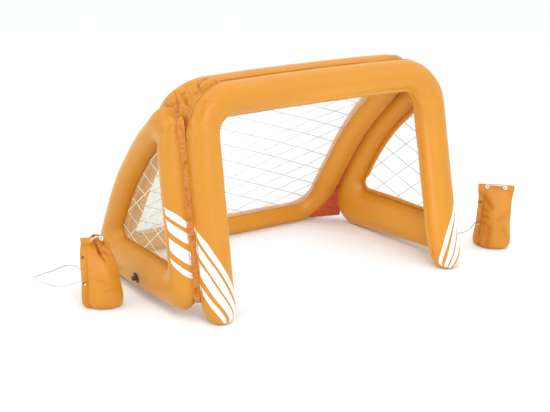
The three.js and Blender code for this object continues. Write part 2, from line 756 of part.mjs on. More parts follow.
// Anchor bags: filled bags with a flat sealed band on top and a sealed fin down one edge
// Each level: its height, half width and half depth, as shares of the bag's own
const bagLevelShares = [
  [0, 0.72, 0.6], [0.02, 0.88, 0.82], [0.07, 0.98, 0.96], [0.15, 1, 1],
  [0.26, 0.96, 0.98], [0.38, 0.91, 0.92], [0.52, 0.89, 0.8], [0.66, 0.88, 0.6],
  [0.78, 0.88, 0.37], [0.86, 0.91, 0.18], [0.92, 0.95, 0], [1, 0.96, 0],
];

function bagLevel(heightShare) {
  const above = Math.max(bagLevelShares.findIndex(([share]) => share >= heightShare), 1);
  const [lowShare, lowWidth, lowDepth] = bagLevelShares[above - 1];
  const [highShare, highWidth, highDepth] = bagLevelShares[above];
  const t = (heightShare - lowShare) / (highShare - lowShare);
  return {
    halfWidth: bagHalfWidth * THREE.MathUtils.lerp(lowWidth, highWidth, t),
    halfDepth: bagHalfDepth * THREE.MathUtils.lerp(lowDepth, highDepth, t),
  };
}

// A place on the bag's middle sheet, which folds into a V towards the top, with the sheet's front direction
function bagPlace(bag, across, height) {
  const { halfDepth } = bagLevel(height / bagHeight);
  const fold = bag.fold * THREE.MathUtils.smoothstep(height / bagHeight, bagFoldLowShare, bagFoldHighShare);
  const radius = bagFoldRadius + bagFoldEaseShare * halfDepth;
  const reach = Math.hypot(across, radius);
  const ahead = Math.sin(fold) * (reach - radius - bagFoldBalanceShare * bagHalfWidth);
  const right = vector(Math.cos(bag.turn), Math.sin(bag.turn), 0);
  const front = vector(Math.sin(bag.turn), -Math.cos(bag.turn), 0);
  const tangent = flat(Math.cos(fold), (Math.sin(fold) * across) / reach).normalize();
  return {
    point: bag.foot.clone()
      .addScaledVector(right, across * Math.cos(fold) + (bag.lean * height) / bagHeight)
      .addScaledVector(front, ahead)
      .setZ(height),
    front: right.clone().multiplyScalar(-tangent.y).addScaledVector(front, tangent.x),
    right: right.clone().multiplyScalar(tangent.x).addScaledVector(front, tangent.y),
  };
}

function bagRing(bag, heightShare) {
  const { halfWidth, halfDepth } = bagLevel(heightShare);
  const finSpots = [0, 1, 2].map((k) => [-halfWidth + (bagFinWidth * k) / 2, bagSheet / 2]);
  const bodyHalf = halfWidth - bagFinWidth / 2;
  const bodySpots = Array.from({ length: bagArcSteps }, (_, i) => {
    const angle = Math.PI * (1 - (i + 1) / bagArcSteps);
    const depth = Math.max(halfDepth * Math.sin(angle), bagSheet / 2);
    return [bagFinWidth / 2 + bodyHalf * Math.cos(angle), depth];
  });
  const frontSpots = [...finSpots, ...bodySpots];
  const backSpots = frontSpots.map(([across, depth]) => [across, -depth]).reverse();
  return [...frontSpots, ...backSpots].map(([across, depth]) => {
    const { point, front } = bagPlace(bag, across, heightShare * bagHeight);
    return point.addScaledVector(front, depth);
  });
}

// A round eyelet that grips a sheet: two flanges joined by a barrel through the sheet's hole
const eyelet = (bore, flange, sheet) => {
  const grip = sheet / 2 + seatGap;
  return ringProfile([
    [bore, -grip - eyeletFlange], [flange, -grip - eyeletFlange],
    [flange, -grip], [bore + eyeletWall, -grip],
    [bore + eyeletWall, grip], [flange, grip],
    [flange, grip + eyeletFlange], [bore, grip + eyeletFlange],
  ]);
};

// What an eyelet takes out of its sheet: the barrel's hole, and a flat landing for each flange
function eyeletCutter(bore, flange, sheet, matrix) {
  const disc = (radius, from, to) => toSolid(
    new THREE.CylinderGeometry(radius, radius, to - from, roundSides)
      .rotateX(Math.PI / 2)
      .translate(0, 0, (from + to) / 2), matrix);
  const hole = disc(bore + eyeletWall + seatGap, -sheet, sheet);
  const landing = flange + seatGap;
  return hole.add(disc(landing, sheet / 2, eyeletLanding)).add(disc(landing, -eyeletLanding, -sheet / 2));
}

// A round bar of changing radius swept along points
function sweep(points, radii, sideCount) {
  let reference = vector(0, 0, 1);
  const rings = points.map((point, k) => {
    const before = points[Math.max(k - 1, 0)];
    const after = points[Math.min(k + 1, points.length - 1)];
    const tangent = after.clone().sub(before).normalize();
    reference = reference.clone().addScaledVector(tangent, -reference.dot(tangent)).normalize();
    return ovalRing(point, reference, tangent.clone().cross(reference), radii[k], radii[k], sideCount);
  });
  return loft(rings, false);
}

// The handle: a cord through both white rings, with a knot behind each, tilted to meet them
function handleGeometry(ends) {
  const axis = ends[1].point.clone().sub(ends[0].point).normalize();
  const grip = bagSheet / 2 + seatGap + eyeletFlange;
  const halves = ends.map(({ point, front }) => {
    const lead = front.clone().applyAxisAngle(axis, handleTilt);
    const reach = (handleKnotRadius + grip + seatGap) / front.dot(lead);
    const knot = point.clone().addScaledVector(lead, -reach);
    const knotShares = [-0.98, -0.8, -0.35, 0.35, 0.8];
    const places = knotShares.map((share) => knot.clone().addScaledVector(lead, share * handleKnotRadius));
    const radii = knotShares.map((share) => handleKnotRadius * Math.sqrt(1 - share ** 2));
    const straight = [-grip, 0, handleLead].map((along) => point.clone().addScaledVector(lead, along));
    return {
      points: [...places, ...straight],
      radii: [...radii, ...straight.map(() => handleCordRadius)],
      lead,
    };
  });
  const starts = halves.map(({ points }) => points[points.length - 1]);
  const rise = vector(0, 0, handleRise);
  const arch = new THREE.CubicBezierCurve3(
    starts[0],
    starts[0].clone().addScaledVector(halves[0].lead, handleBend).add(rise),
    starts[1].clone().addScaledVector(halves[1].lead, handleBend).add(rise),
    starts[1],
  ).getPoints(handleSteps).slice(1, -1);
  return sweep(
    [...halves[0].points, ...arch, ...halves[1].points.reverse()],
    [...halves[0].radii, ...arch.map(() => handleCordRadius), ...halves[1].radii.reverse()],
    roundSides / 2,
  );
}

// A knot with a flat face, where the cord's end meets it
const knotGeometry = () => {
  const face = tetherKnotRadius * Math.SQRT1_2;
  const height = tetherKnotRadius * tetherKnotHeightShare;
  return new THREE.LatheGeometry([
    flat(0, 0), flat(face, 0), flat(tetherKnotRadius, tetherKnotRadius / 2),
    flat(tetherKnotRadius, tetherKnotRadius), flat(face, height), flat(0, height),
  ], roundSides / 2).rotateX(Math.PI / 2);
};

function tetherGeometry(route) {
  const curve = new THREE.CatmullRomCurve3(route, false, 'centripetal');
  const section = new THREE.Shape(Array.from({ length: tetherSides }, (_, k) =>
    flat(tetherRadius, 0).rotateAround(flat(0, 0), (2 * Math.PI * k) / tetherSides)));
  const settings = { steps: tetherSteps, bevelEnabled: false, extrudePath: curve };
  const cord = new THREE.ExtrudeGeometry(section, settings);
  const places = cord.attributes.position;
  for (let k = 0; k < places.count; k += 1) places.setZ(k, Math.max(places.getZ(k), 0));
  return cord;
}

const bags = {
  left: {
    foot: vector(-leftBagAcross, leftBagDepth, 0),
    lean: -leftBagLean, turn: leftBagTurn, fold: leftBagFold,
  },
  right: {
    foot: vector(rightBagAcross, rightBagDepth, 0),
    lean: rightBagLean, turn: rightBagTurn, fold: rightBagFold,
  },
};

// The cords' routes over the floor, chosen by hand, from beside the flap to behind the bag
const tetherRoutes = {
  left: [
    [-656, 579, 11], [-659, 600, 4], [-664, 640, 3], [-688, 720, 3], [-686, 762, 3],
    [-712, 786, 3], [-780, 764, 3], [-855, 745, 3], [-880, 728, 3], [-880, 700, 3],
    [-865, 640, 3], [-862, 580, 12], [-862, 520, 34], [-864, 460, 60], [-866, 415, 84],
  ],
  right: [
    [660, 560, 11], [675, 544, 4], [700, 525, 3], [740, 500, 3], [775, 455, 3], [785, 395, 3],
    [815, 330, 3], [860, 283, 3], [884, 256, 9], [888, 226, 32], [880, 192, 68],
  ],
};

for (const [side, sign] of sides) {
  const bag = bags[side];
  const ringPlaces = [-1, 1].map((hand) => bagPlace(bag, hand * bagRingReach, bagHeight - bagRingDrop));
  const finPlaces = [bagLowerEyelet, bagUpperEyelet].map((height) =>
    bagPlace(bag, bagFinWidth / 2 - bagLevel(height / bagHeight).halfWidth, height));
  const frameOf = ({ point, front, right }) => frameAt(point, front, right);
  const holesAt = (places, bore, flange) =>
    places.map((place) => eyeletCutter(bore, flange, bagSheet, frameOf(place)));
  const ringHoles = holesAt(ringPlaces, ringBore, ringFlange);
  const finHoles = holesAt(finPlaces, tetherBore, tetherFlange);
  const levels = bagLevelShares.map(([share]) => bagRing(bag, share));
  addMesh(`${side}_anchor_bag`, trimmed(loft(levels, false), [...ringHoles, ...finHoles]), orangeVinyl);
  ['inner', 'outer'].forEach((name, k) => {
    addMesh(`${side}_bag_ring_${name}`, eyelet(ringBore, ringFlange, bagSheet), whitePlastic,
      framedGroup(frameOf(ringPlaces[k])));
  });
  ['lower', 'upper'].forEach((name, k) => {
    addMesh(`${side}_bag_eyelet_${name}`, eyelet(tetherBore, tetherFlange, bagSheet), blackPlastic,
      framedGroup(frameOf(finPlaces[k])));
  });
  addMesh(`${side}_bag_handle`, handleGeometry(ringPlaces), whiteCord);

  const { point: skin } = bottomSkin(sign, tabShare, 0);
  const tabEye = vector(skin.x + sign * tabReach, skin.y, tabHeight);
  const tabOutline = new THREE.Shape()
    .moveTo(-tabReach - tabOverlap, -tabHalfWidth)
    .lineTo(0, -tabHalfWidth)
    .absarc(0, 0, tabHalfWidth, -Math.PI / 2, Math.PI / 2)
    .lineTo(-tabReach - tabOverlap, tabHalfWidth);
  const tabFrame = frameAt(tabEye, vector(0, 0, 1), vector(sign, 0, 0));
  const tabPlate = new THREE.ExtrudeGeometry(tabOutline, { depth: tabThickness, bevelEnabled: false })
    .translate(0, 0, -tabThickness / 2);
  const tabHole = eyeletCutter(tetherBore, tetherFlange, tabThickness, tabFrame);
  const tabGroup = framedGroup(tabFrame);
  const tab = trimmed(tabPlate, [sideCutters[side], tabHole], tabFrame);
  addMesh(`${side}_tether_tab`, tab, orangeVinyl, tabGroup);
  addMesh(`${side}_tether_eyelet`, eyelet(tetherBore, tetherFlange, tabThickness), blackPlastic, tabGroup);

  const tabTop = tabThickness / 2 + seatGap + eyeletFlange;
  const bagTop = bagSheet / 2 + seatGap + eyeletFlange;
  addMesh(`${side}_flap_knot`, knotGeometry().translate(0, 0, tabTop + seatGap), whiteCord, tabGroup);
  addMesh(`${side}_bag_knot`, knotGeometry().translate(0, 0, bagTop + seatGap), whiteCord,
    framedGroup(frameOf(finPlaces[0])));
  const bagEye = finPlaces[0];
  const route = [
    tabEye.clone().setZ(tabEye.z + tabTop),
    tabEye.clone().setZ(tabEye.z - tabTop),
    tabEye.clone().setZ(tabEye.z - tetherDrop),
    ...tetherRoutes[side].map((p) => vector(...p)),
    bagEye.point.clone().addScaledVector(bagEye.front, -tetherLead),
    bagEye.point.clone().addScaledVector(bagEye.front, -bagTop),
    bagEye.point.clone().addScaledVector(bagEye.front, bagTop),
  ];
  addMesh(`${side}_tether_cord`, tetherGeometry(route), whiteCord);
}

// The origin is under the middle of everything but the cords
const extent = new THREE.Box3();
goal.updateMatrixWorld(true);
goal.traverse((item) => {
  if (item.isMesh && !item.name.endsWith('_tether_cord')) extent.expandByObject(item);
});
goal.position.set(-(extent.min.x + extent.max.x) / 2, -(extent.min.y + extent.max.y) / 2, -extent.min.z);

export default goal;
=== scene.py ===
# %% [markdown]
# # An inflatable pool goal, dressed in Blender
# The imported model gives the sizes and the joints. Each cell below makes one piece of the real goal,
# or one finish, as a surface worked out with numpy or as a node material.
# Lengths inside this file are in millimetres, in the goal's own drawing frame: X across the mouth,
# Y from the mouth to the rear, Z up. They are turned to metres in the row frame only as a mesh is made.

# %% Load the frame
import math

import bmesh
import bpy
import numpy as np
from mathutils import Matrix, Vector


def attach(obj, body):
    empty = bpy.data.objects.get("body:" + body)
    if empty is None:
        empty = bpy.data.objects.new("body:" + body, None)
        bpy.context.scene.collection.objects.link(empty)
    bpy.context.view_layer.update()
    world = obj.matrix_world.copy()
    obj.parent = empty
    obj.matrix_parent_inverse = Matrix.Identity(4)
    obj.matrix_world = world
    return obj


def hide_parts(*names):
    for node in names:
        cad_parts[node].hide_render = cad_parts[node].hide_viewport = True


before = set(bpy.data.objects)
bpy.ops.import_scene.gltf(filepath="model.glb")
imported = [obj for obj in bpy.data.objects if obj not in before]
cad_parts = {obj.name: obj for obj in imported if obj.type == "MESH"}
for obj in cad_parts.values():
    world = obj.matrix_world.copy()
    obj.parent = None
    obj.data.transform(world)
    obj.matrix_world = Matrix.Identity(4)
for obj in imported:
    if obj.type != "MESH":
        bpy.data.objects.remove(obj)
scene = bpy.context.scene
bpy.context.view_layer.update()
goal_shift = np.array([-27.2083, -399.2401, 0.0])
print("nodes in the frame:", len(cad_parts))

# %% [markdown]
# The camera comes first. The photograph was taken from the left front, a little above the goal, with a
# long lens, so its lines hardly converge. The numbers come from fitting known corners of the goal to it.

# %% The camera
camera_azimuth, camera_height, camera_roll = math.radians(-37.07), math.radians(17.3), math.radians(1.74)
camera_distance, camera_target = 5.324, Vector((-0.0513, -0.0192, 0.2344))
photo_width, focal_pixels, sensor_width, far_clip = 550, 1379.28, 36, 60


def camera_axes(azimuth, height, roll):
    """Back points from the target to the eye; right is level; roll turns right and up about back."""
    back = Vector((math.sin(azimuth) * math.cos(height), -math.cos(azimuth) * math.cos(height),
                   math.sin(height)))
    right = (-back).cross(Vector((0, 0, 1))).normalized()
    up = right.cross(-back)
    turned_right = right * math.cos(roll) + up * math.sin(roll)
    return turned_right, up * math.cos(roll) - right * math.sin(roll), back


lens = bpy.data.cameras.new("photo_camera")
lens.sensor_width = sensor_width
lens.lens = focal_pixels / photo_width * sensor_width
lens.shift_x, lens.shift_y = 0.0004, 0.0019
lens.clip_end = far_clip
camera = bpy.data.objects.new("photo_camera", lens)
scene.collection.objects.link(camera)
right, up, back = camera_axes(camera_azimuth, camera_height, camera_roll)
eye = camera_target + back * camera_distance
camera.matrix_world = Matrix([(right[k], up[k], back[k], eye[k]) for k in range(3)] + [(0, 0, 0, 1)])
scene.camera = camera
print("lens", round(lens.lens, 2), "mm, eye at", [round(x, 3) for x in camera.matrix_world.translation])

# %% [markdown]
# Every new piece is a grid of points: rows along a path, columns around it. One helper turns such a grid
# into a mesh with faces that point outwards, a UV map in metres, and closed ends.

# %% Grids into meshes
def unit(v):
    """A vector, or each vector of an array, divided by its length."""
    return v / np.maximum(np.linalg.norm(v, axis=-1, keepdims=True), 1e-9)


def grid_faces(rows, columns, wrap_rows):
    """Four corners for each cell of a grid, and the same corners as unwrapped (row, column) places."""
    r, c = np.meshgrid(np.arange(rows - (not wrap_rows)), np.arange(columns), indexing="ij")
    steps = np.array([[0, 0], [0, 1], [1, 1], [1, 0]])
    row, column = r.reshape(-1, 1) + steps[:, 0], c.reshape(-1, 1) + steps[:, 1]
    return (row % rows) * columns + column % columns, row, column


def metres_over(grid, way):
    """Mean distance travelled one way over a grid, in metres, with one more step for a seam that closes."""
    run = np.r_[0, np.cumsum(np.linalg.norm(np.diff(grid, axis=way), axis=2).mean(1 - way))]
    return np.r_[run, run[-1] + run[1]] / 1000


def enclosed(points, faces):
    """Six times the volume inside quads: the sum of each corner's dot with the cross of the next two."""
    a, b, c, d = (points[faces[:, k]] for k in range(4))
    return (a * np.cross(b, c)).sum() + (a * np.cross(c, d)).sum()


def skin(name, grid, wrap_rows=False, capped=False, marks=None):
    """A smooth mesh over a (rows, columns, 3) grid in millimetres; a capped end closes to its middle."""
    rows, columns = grid.shape[:2]
    points = grid.reshape(-1, 3)
    faces, row, column = grid_faces(rows, columns, wrap_rows)
    uv = np.stack([metres_over(grid, 0)[row], metres_over(grid, 1)[column]], -1)
    turned = enclosed(points, faces) < 0
    loops = faces[:, ::-1] if turned else faces
    uv = uv[:, ::-1] if turned else uv
    sizes = np.full(len(loops), 4)
    flat_loops, flat_uv = loops.ravel(), uv.reshape(-1, 2)
    if capped:
        ring, last, middle = np.arange(columns), (rows - 1) * columns, np.full(columns, len(points))
        after = (ring + 1) % columns
        first_cap = np.stack([middle, after, ring], -1)
        caps = np.r_[first_cap, np.stack([middle + 1, last + ring, last + after], -1)]
        points = np.r_[points, [grid[0].mean(0), grid[-1].mean(0)]]
        caps = caps[:, ::-1] if turned else caps
        sizes = np.r_[sizes, np.full(len(caps), 3)]
        flat_loops = np.r_[flat_loops, caps.ravel()]
        flat_uv = np.r_[flat_uv, np.zeros((caps.size, 2))]
    mesh = bpy.data.meshes.new(name)
    mesh.vertices.add(len(points))
    mesh.vertices.foreach_set("co", ((points + goal_shift) / 1000).astype(np.float32).ravel())
    mesh.loops.add(len(flat_loops))
    mesh.loops.foreach_set("vertex_index", flat_loops.astype(np.int32))
    mesh.polygons.add(len(sizes))
    mesh.polygons.foreach_set("loop_start", np.r_[0, np.cumsum(sizes)[:-1]].astype(np.int32))
    mesh.polygons.foreach_set("loop_total", sizes.astype(np.int32))
    mesh.uv_layers.new(name="UVMap").data.foreach_set("uv", flat_uv.astype(np.float32).ravel())
    for mark, values in (marks or {}).items():
        whole = np.zeros(len(points), np.float32)
        whole[:values.size] = values.ravel()
        mesh.attributes.new(mark, "FLOAT", "POINT").data.foreach_set("value", whole)
    mesh.update(calc_edges=True)
    mesh.validate()
    mesh.shade_smooth()
    piece = bpy.data.objects.new(name, mesh)
    scene.collection.objects.link(piece)
    return piece


def dress(piece, body, finish, slot, *nodes):
    """Gives a piece its material, the body it rides on and the nodes it replaces; the slot is not used."""
    piece.data.materials.clear()
    piece.data.materials.append(finish)
    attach(piece, body)
    if nodes:
        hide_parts(*nodes)
    return piece


# %% [markdown]
# A bar of changing radius carried along a path makes cords, knots and handles. The ring at each place
# stands square to the path, and its direction is carried forward from ring to ring so that it never spins.

# %% A bar carried along a path
def run_of(points):
    """Distance travelled along a line of points."""
    return np.r_[0, np.cumsum(np.linalg.norm(np.diff(points, axis=0), axis=1))]


def sampled(places, run, rows):
    """Each column of some rows, read at other places along their run."""
    return np.stack([np.interp(places, run, column) for column in rows.T], -1)


def evenly(points, count):
    """The same line with count points at equal distances."""
    run = run_of(points)
    return sampled(np.linspace(0, run[-1], count), run, points)


def catmull(points, per_span=24):
    """A smooth line through points: Catmull-Rom with its knots spaced by the root of the distance."""
    p = np.vstack([2 * points[0] - points[1], points, 2 * points[-1] - points[-2]])
    knots = np.r_[0, np.cumsum(np.linalg.norm(np.diff(p, axis=0), axis=1) ** 0.5)]
    out = []
    for k in range(1, len(p) - 2):
        t0, t1, t2, t3 = knots[k - 1:k + 3]
        t = np.linspace(t1, t2, per_span, endpoint=False)[:, None]
        a = ((t1 - t) * p[k - 1] + (t - t0) * p[k]) / (t1 - t0)
        b = ((t2 - t) * p[k] + (t - t1) * p[k + 1]) / (t2 - t1)
        c = ((t3 - t) * p[k + 1] + (t - t2) * p[k + 2]) / (t3 - t2)
        d = ((t2 - t) * a + (t - t0) * b) / (t2 - t0)
        e = ((t3 - t) * b + (t - t1) * c) / (t3 - t1)
        out.append(((t2 - t) * d + (t - t1) * e) / (t2 - t1))
    return np.vstack([*out, points[-1:]])


def carried_axes(path):
    """Tangent and two square directions at each point; the first is carried on from the point before."""
    tangent = unit(np.gradient(path, axis=0))
    first = np.cross(tangent[0], [0.0, 0.0, 1.0])
    if np.linalg.norm(first) < 0.1:
        first = np.cross(tangent[0], [1.0, 0.0, 0.0])
    side = np.empty_like(path)
    side[0] = unit(first)
    for k in range(1, len(path)):
        side[k] = unit(side[k - 1] - tangent[k] * side[k - 1].dot(tangent[k]))
    return tangent, side, np.cross(tangent, side)


def bar_grid(path, radius, pitch, depth, sides=12, strands=3):
    """Rings with twisting grooves: radius - depth * (1 - |sin(strands / 2 * (angle - turn))|)."""
    _, side, third = carried_axes(path)
    angle = np.linspace(0, 2 * math.pi, sides, endpoint=False)
    turn = run_of(path)[:, None] * (2 * math.pi / pitch)
    reach = radius - depth * (1 - np.abs(np.sin(strands / 2 * (angle - turn))))
    return (path[:, None] + side[:, None] * (reach * np.cos(angle))[..., None]
            + third[:, None] * (reach * np.sin(angle))[..., None])


# %% [markdown]
# Now the sizes of the frame, the same as in the part's source: a leaning front arch, two side frames that are
# triangles of tube, and a loop behind that climbs from the rear bar to the top bar. Each air chamber is an
# oval ring carried round a path, so one record of centres, directions and half widths describes it.

# %% The goal's sizes
floor_sink, seat_gap = 6.0, 0.3
foot_half, top_half, top_height, arch_lean = 537.0, 523.0, 753.0, 165.0
arch_radius, arch_corner, foot_rounding, foot_tip = 60.5, 124.0, 78.0, 0.06
foot_flare, flare_height, bar_bow, bow_half_span, bow_from, bow_over = 17.0, 200.0, 6.0, 430.0, 640.0, 60.0
post_radius, post_bearing, toe_in, toe_rise = 52.0, math.radians(42), 38.0, 32.0
bottom_height, bottom_swell, slant_thickness, slant_width, roundness = 165.0, 4.0, 47.0, 98.0, 1.05
heel_reach, elbow_reach, elbow_height, side_top = 695.75, 462.2, 494.0, 795.0
side_radii, window_radii = [75.0, 100.0, 1097.0, 75.0], [34.0, 36.0, 999.0, 20.0]
back_top_radius, back_side_radius, rear_radius = 56.0, 52.6, 44.5
back_rise, rear_reach, back_elbow, back_elbow_radius, back_set = 4.0, 786.0, (545.0, 463.0), 1100.0, 51.0
back_radii, net_radii = [140.0, 150.0, 150.0, 140.0], [62.0, 55.0, 55.0, 62.0]

sink = np.array([0, 0, floor_sink])
foot = np.array([foot_half, 0, 0])
arch_top = np.array([top_half, arch_lean, top_height])
post_axis = unit(arch_top - foot)
spacing = arch_radius + post_radius + seat_gap
bearing = np.array([math.sin(post_bearing), math.cos(post_bearing), 0])
side_foot = foot + bearing * spacing / math.sqrt(1 - bearing.dot(post_axis) ** 2)
lean_rate = arch_lean / top_height
toe_rate = toe_in / (rear_reach - side_foot[1])
tilt_rate = (foot_half - top_half) / top_height - toe_rate * lean_rate
side_normal = unit(np.array([1, toe_rate, tilt_rate]))


def side_plane(depth, height):
    """A point of the right side frame's middle plane, from its depth behind the mouth and its height."""
    across = side_foot[0] - toe_rate * (depth - side_foot[1]) - tilt_rate * height
    return np.stack(np.broadcast_arrays(across, depth, height), -1)


def handed(sign):
    """What a right-hand point is multiplied by: itself for 1, its left-hand twin for -1."""
    return np.array([sign, 1, 1])


# %% [markdown]
# Rounded outlines: each corner is an arc, and the inner and outer outline have the same count of points, so
# that point k of one faces point k of the other. The oval ring between them is the tube at that place.

# %% Outlines and the chambers they make
arc_steps, elbow_steps, arch_steps = 28, 49, 700


def corner_arc(corner, before, after, radius, steps):
    """Arc about the point on the bisector at radius / sin(half angle): start * cos(a) + square * sin(a)."""
    half = math.acos(np.clip(before.dot(after), -1, 1)) / 2
    centre = corner + unit(before + after) * radius / math.sin(half)
    start = corner + before * radius / math.tan(half) - centre
    end = corner + after * radius / math.tan(half) - centre
    square = unit(end - start * start.dot(end) / start.dot(start)) * radius
    a = np.linspace(0, math.pi - 2 * half, steps)[:, None]
    return centre + start * np.cos(a) + square * np.sin(a)


def rounded_outline(corners, radii, edge_steps):
    """Each corner's arc, then equal steps to the next arc."""
    corners = np.asarray(corners, float)
    back, ahead = unit(np.roll(corners, 1, 0) - corners), unit(np.roll(corners, -1, 0) - corners)
    arcs = [corner_arc(*place, arc_steps + 1) for place in zip(corners, back, ahead, radii)]
    pieces = []
    for arc, following, steps in zip(arcs, arcs[1:] + arcs[:1], edge_steps):
        t = np.arange(1, steps)[:, None] / steps
        pieces += [arc, arc[-1] + (following[0] - arc[-1]) * t]
    return np.vstack(pieces)


def chamber(centre, out, half_out, half_across, normal, loop):
    """A tube's record: centres, directions across it and half widths, all by distance round it."""
    out = unit(out)
    across = unit(np.cross(np.cross(out, normal), out))
    rows = np.column_stack([centre, out, across, half_out, half_across])
    if loop:
        rows = np.vstack([rows, rows[:1]])
    return {"run": run_of(rows[:, :3]), "rows": rows, "loop": loop}


def at(tube, run):
    """Centre, outward and across directions and the two half widths at distances along a tube."""
    run = np.mod(run, tube["run"][-1]) if tube["loop"] else np.clip(run, 0, tube["run"][-1])
    v = sampled(run, tube["run"], tube["rows"])
    return v[..., :3], unit(v[..., 3:6]), unit(v[..., 6:9]), v[..., 9:10], v[..., 10:11]


def arch_chamber():
    """The arch's centre line runs foot, corner, bar, corner, foot; each foot rounds off in a dome."""
    corners = [foot, arch_top, arch_top * handed(-1), foot * handed(-1)]
    line = [foot]
    for before, corner, after in zip(corners, corners[1:], corners[2:]):
        arms = unit(before - corner), unit(after - corner)
        line += list(corner_arc(corner, *arms, arch_corner, arc_steps + 1))
    line = evenly(np.array(line + [corners[3]]), arch_steps)
    line[:, 1] -= foot_flare * np.clip(1 - line[:, 2] / flare_height, 0, 1) ** 2
    run = run_of(line)
    share = np.clip(np.minimum(run, run[-1] - run) / foot_rounding, 0, 1)
    radius = arch_radius * np.sqrt(np.maximum(1 - (1 - share) ** 2, foot_tip))
    normal = unit(np.cross(post_axis, [1, 0, 0]))
    tangent = unit(np.gradient(line, axis=0))
    return chamber(line - sink, np.cross(normal, tangent), radius, radius, normal, False)


def post_line(height, side):
    """A point on the side post's front or back edge line, as depth and height."""
    half_depth = post_radius / math.cos(math.atan(lean_rate))
    return np.array([side_foot[1] + lean_rate * height + side * half_depth, height])


def crossed(a, u, b, v):
    """Where the line through a along u meets the line through b along v."""
    w = b - a
    return a + u * (w[0] * v[1] - w[1] * v[0]) / (u[0] * v[1] - u[1] * v[0])


outer_corners = [post_line(toe_rise, -1), np.array([side_foot[1] + heel_reach, 0]),
                 np.array([side_foot[1] + elbow_reach, elbow_height]), post_line(side_top, -1)]
lower_slant = unit(outer_corners[2] - outer_corners[1])
upper_slant = unit(outer_corners[3] - outer_corners[2])
lower_point = outer_corners[1] + np.array([-lower_slant[1], lower_slant[0]]) * slant_width
upper_point = outer_corners[2] + np.array([-upper_slant[1], upper_slant[0]]) * slant_width
post_slope = unit(np.array([lean_rate, 1]))
window_corners = [post_line(bottom_height, 1),
                  lower_point + lower_slant * (bottom_height - lower_point[1]) / lower_slant[1],
                  crossed(lower_point, lower_slant, upper_point, upper_slant),
                  crossed(upper_point, upper_slant, post_line(0, 1), post_slope)]
side_steps = [40, 32, 32, 32]
side_outer = rounded_outline(outer_corners, side_radii, side_steps)
side_window = rounded_outline(window_corners, window_radii, side_steps)


def side_chamber():
    """Between outline and window: thick at the post, swollen along the bottom, thinner up the slant."""
    a, b = side_plane(*side_outer.T), side_plane(*side_window.T)
    k = np.arange(len(a))
    share = np.clip((k - arc_steps) / side_steps[0], 0, 1)
    on_post = k > sum(side_steps[:3]) + 4 * arc_steps
    base = np.where(on_post, post_radius, post_radius + (slant_thickness - post_radius) * share)
    thick = base + bottom_swell * np.sin(math.pi * share)
    half = np.linalg.norm(a - b, axis=1) / 2
    return chamber((a + b) / 2 - sink, a - b, half, np.minimum(thick, half * roundness), side_normal, True)


# %% The back loop, drawn flat and carried onto its climbing profile
bar_spacing = arch_radius + back_top_radius + seat_gap
back_top = np.array([arch_lean + math.sqrt(bar_spacing ** 2 - back_rise ** 2), top_height + back_rise])
rear_bar = np.array([rear_reach, rear_radius])


def climbing_profile():
    """Rear bar, a wide arc at the elbow, and the top bar, as depth and height."""
    elbow = np.array(back_elbow)
    down, rise = unit(rear_bar - elbow), unit(back_top - elbow)
    return np.vstack([rear_bar, corner_arc(elbow, down, rise, back_elbow_radius, elbow_steps), back_top])


profile = climbing_profile()
profile_run = run_of(profile)
profile_length = profile_run[-1]


def on_profile(run):
    """Depth, height and direction at a run along the profile; past either end it goes straight on."""
    k = np.clip(np.searchsorted(profile_run, run, side="right") - 1, 0, len(profile) - 2)
    direction = unit(profile[k + 1] - profile[k])
    return profile[k] + direction * (np.asarray(run) - profile_run[k])[..., None], direction


def back_point(width, run):
    """A point of the back loop's middle sheet."""
    place, _ = on_profile(run)
    return np.stack(np.broadcast_arrays(width, place[..., 0], place[..., 1]), -1)


def back_normal(run):
    """The direction square to the back loop's sheet, towards the mouth."""
    _, direction = on_profile(run)
    return np.stack([np.zeros_like(direction[..., 0]), direction[..., 1], -direction[..., 0]], -1)


neighbour = slant_width / 2 + back_side_radius + seat_gap
sideways = math.sqrt(neighbour ** 2 - back_set ** 2)


def back_corners(low, high, side):
    """Corners of the loop, drawn flat: half width from the side frame's plane, and run along the profile."""
    planes = [side_plane(*on_profile(np.array(run))[0])[0] for run in (low, high)]
    half = [plane - sideways + side * back_side_radius for plane in planes]
    return [(half[0], low), (half[1], high), (-half[1], high), (-half[0], low)]


back_steps = [96, 40, 96, 40]
back_outer = rounded_outline(back_corners(-rear_radius, profile_length + back_top_radius, 1),
                             back_radii, back_steps)
back_window = rounded_outline(back_corners(rear_radius, profile_length - back_top_radius, -1),
                              net_radii, back_steps)


def back_chamber():
    """Between the loop's outline and its window, thinner at the rear bar than at the top bar."""
    a, b = back_point(*back_outer.T), back_point(*back_window.T)
    run = (back_outer[:, 1] + back_window[:, 1]) / 2
    share = np.clip(run / profile_length, 0, 1)
    half = np.linalg.norm(a - b, axis=1) / 2
    thick = np.minimum(rear_radius + (back_top_radius - rear_radius) * share, half)
    return chamber((a + b) / 2 - sink, a - b, half, thick, back_normal(run), True)


def mirrored(tube):
    """The left-hand twin of a right-hand tube."""
    rows = tube["rows"].copy()
    rows[:, [0, 3, 6]] *= -1
    return {**tube, "rows": rows}


right_side = side_chamber()
tubes = {"front_arch": arch_chamber(), "right_side_frame": right_side,
         "left_side_frame": mirrored(right_side), "back_frame": back_chamber()}
for name, tube in tubes.items():
    print(name, "is", round(tube["run"][-1]), "mm round")

# %% [markdown]
# Blown vinyl is never a perfect tube. Along each weld the sheet gathers into short puckers, the flat sides
# carry soft dents and creases, and where three chambers crowd together at the top corners it crumples.
# All of that is one height, added along the surface's normal.

# %% Relief of the vinyl
def on_line(run):
    """Distances as points of a straight line, so that a wave field can follow a weld."""
    return np.stack([run, 0 * run, 0 * run], -1)


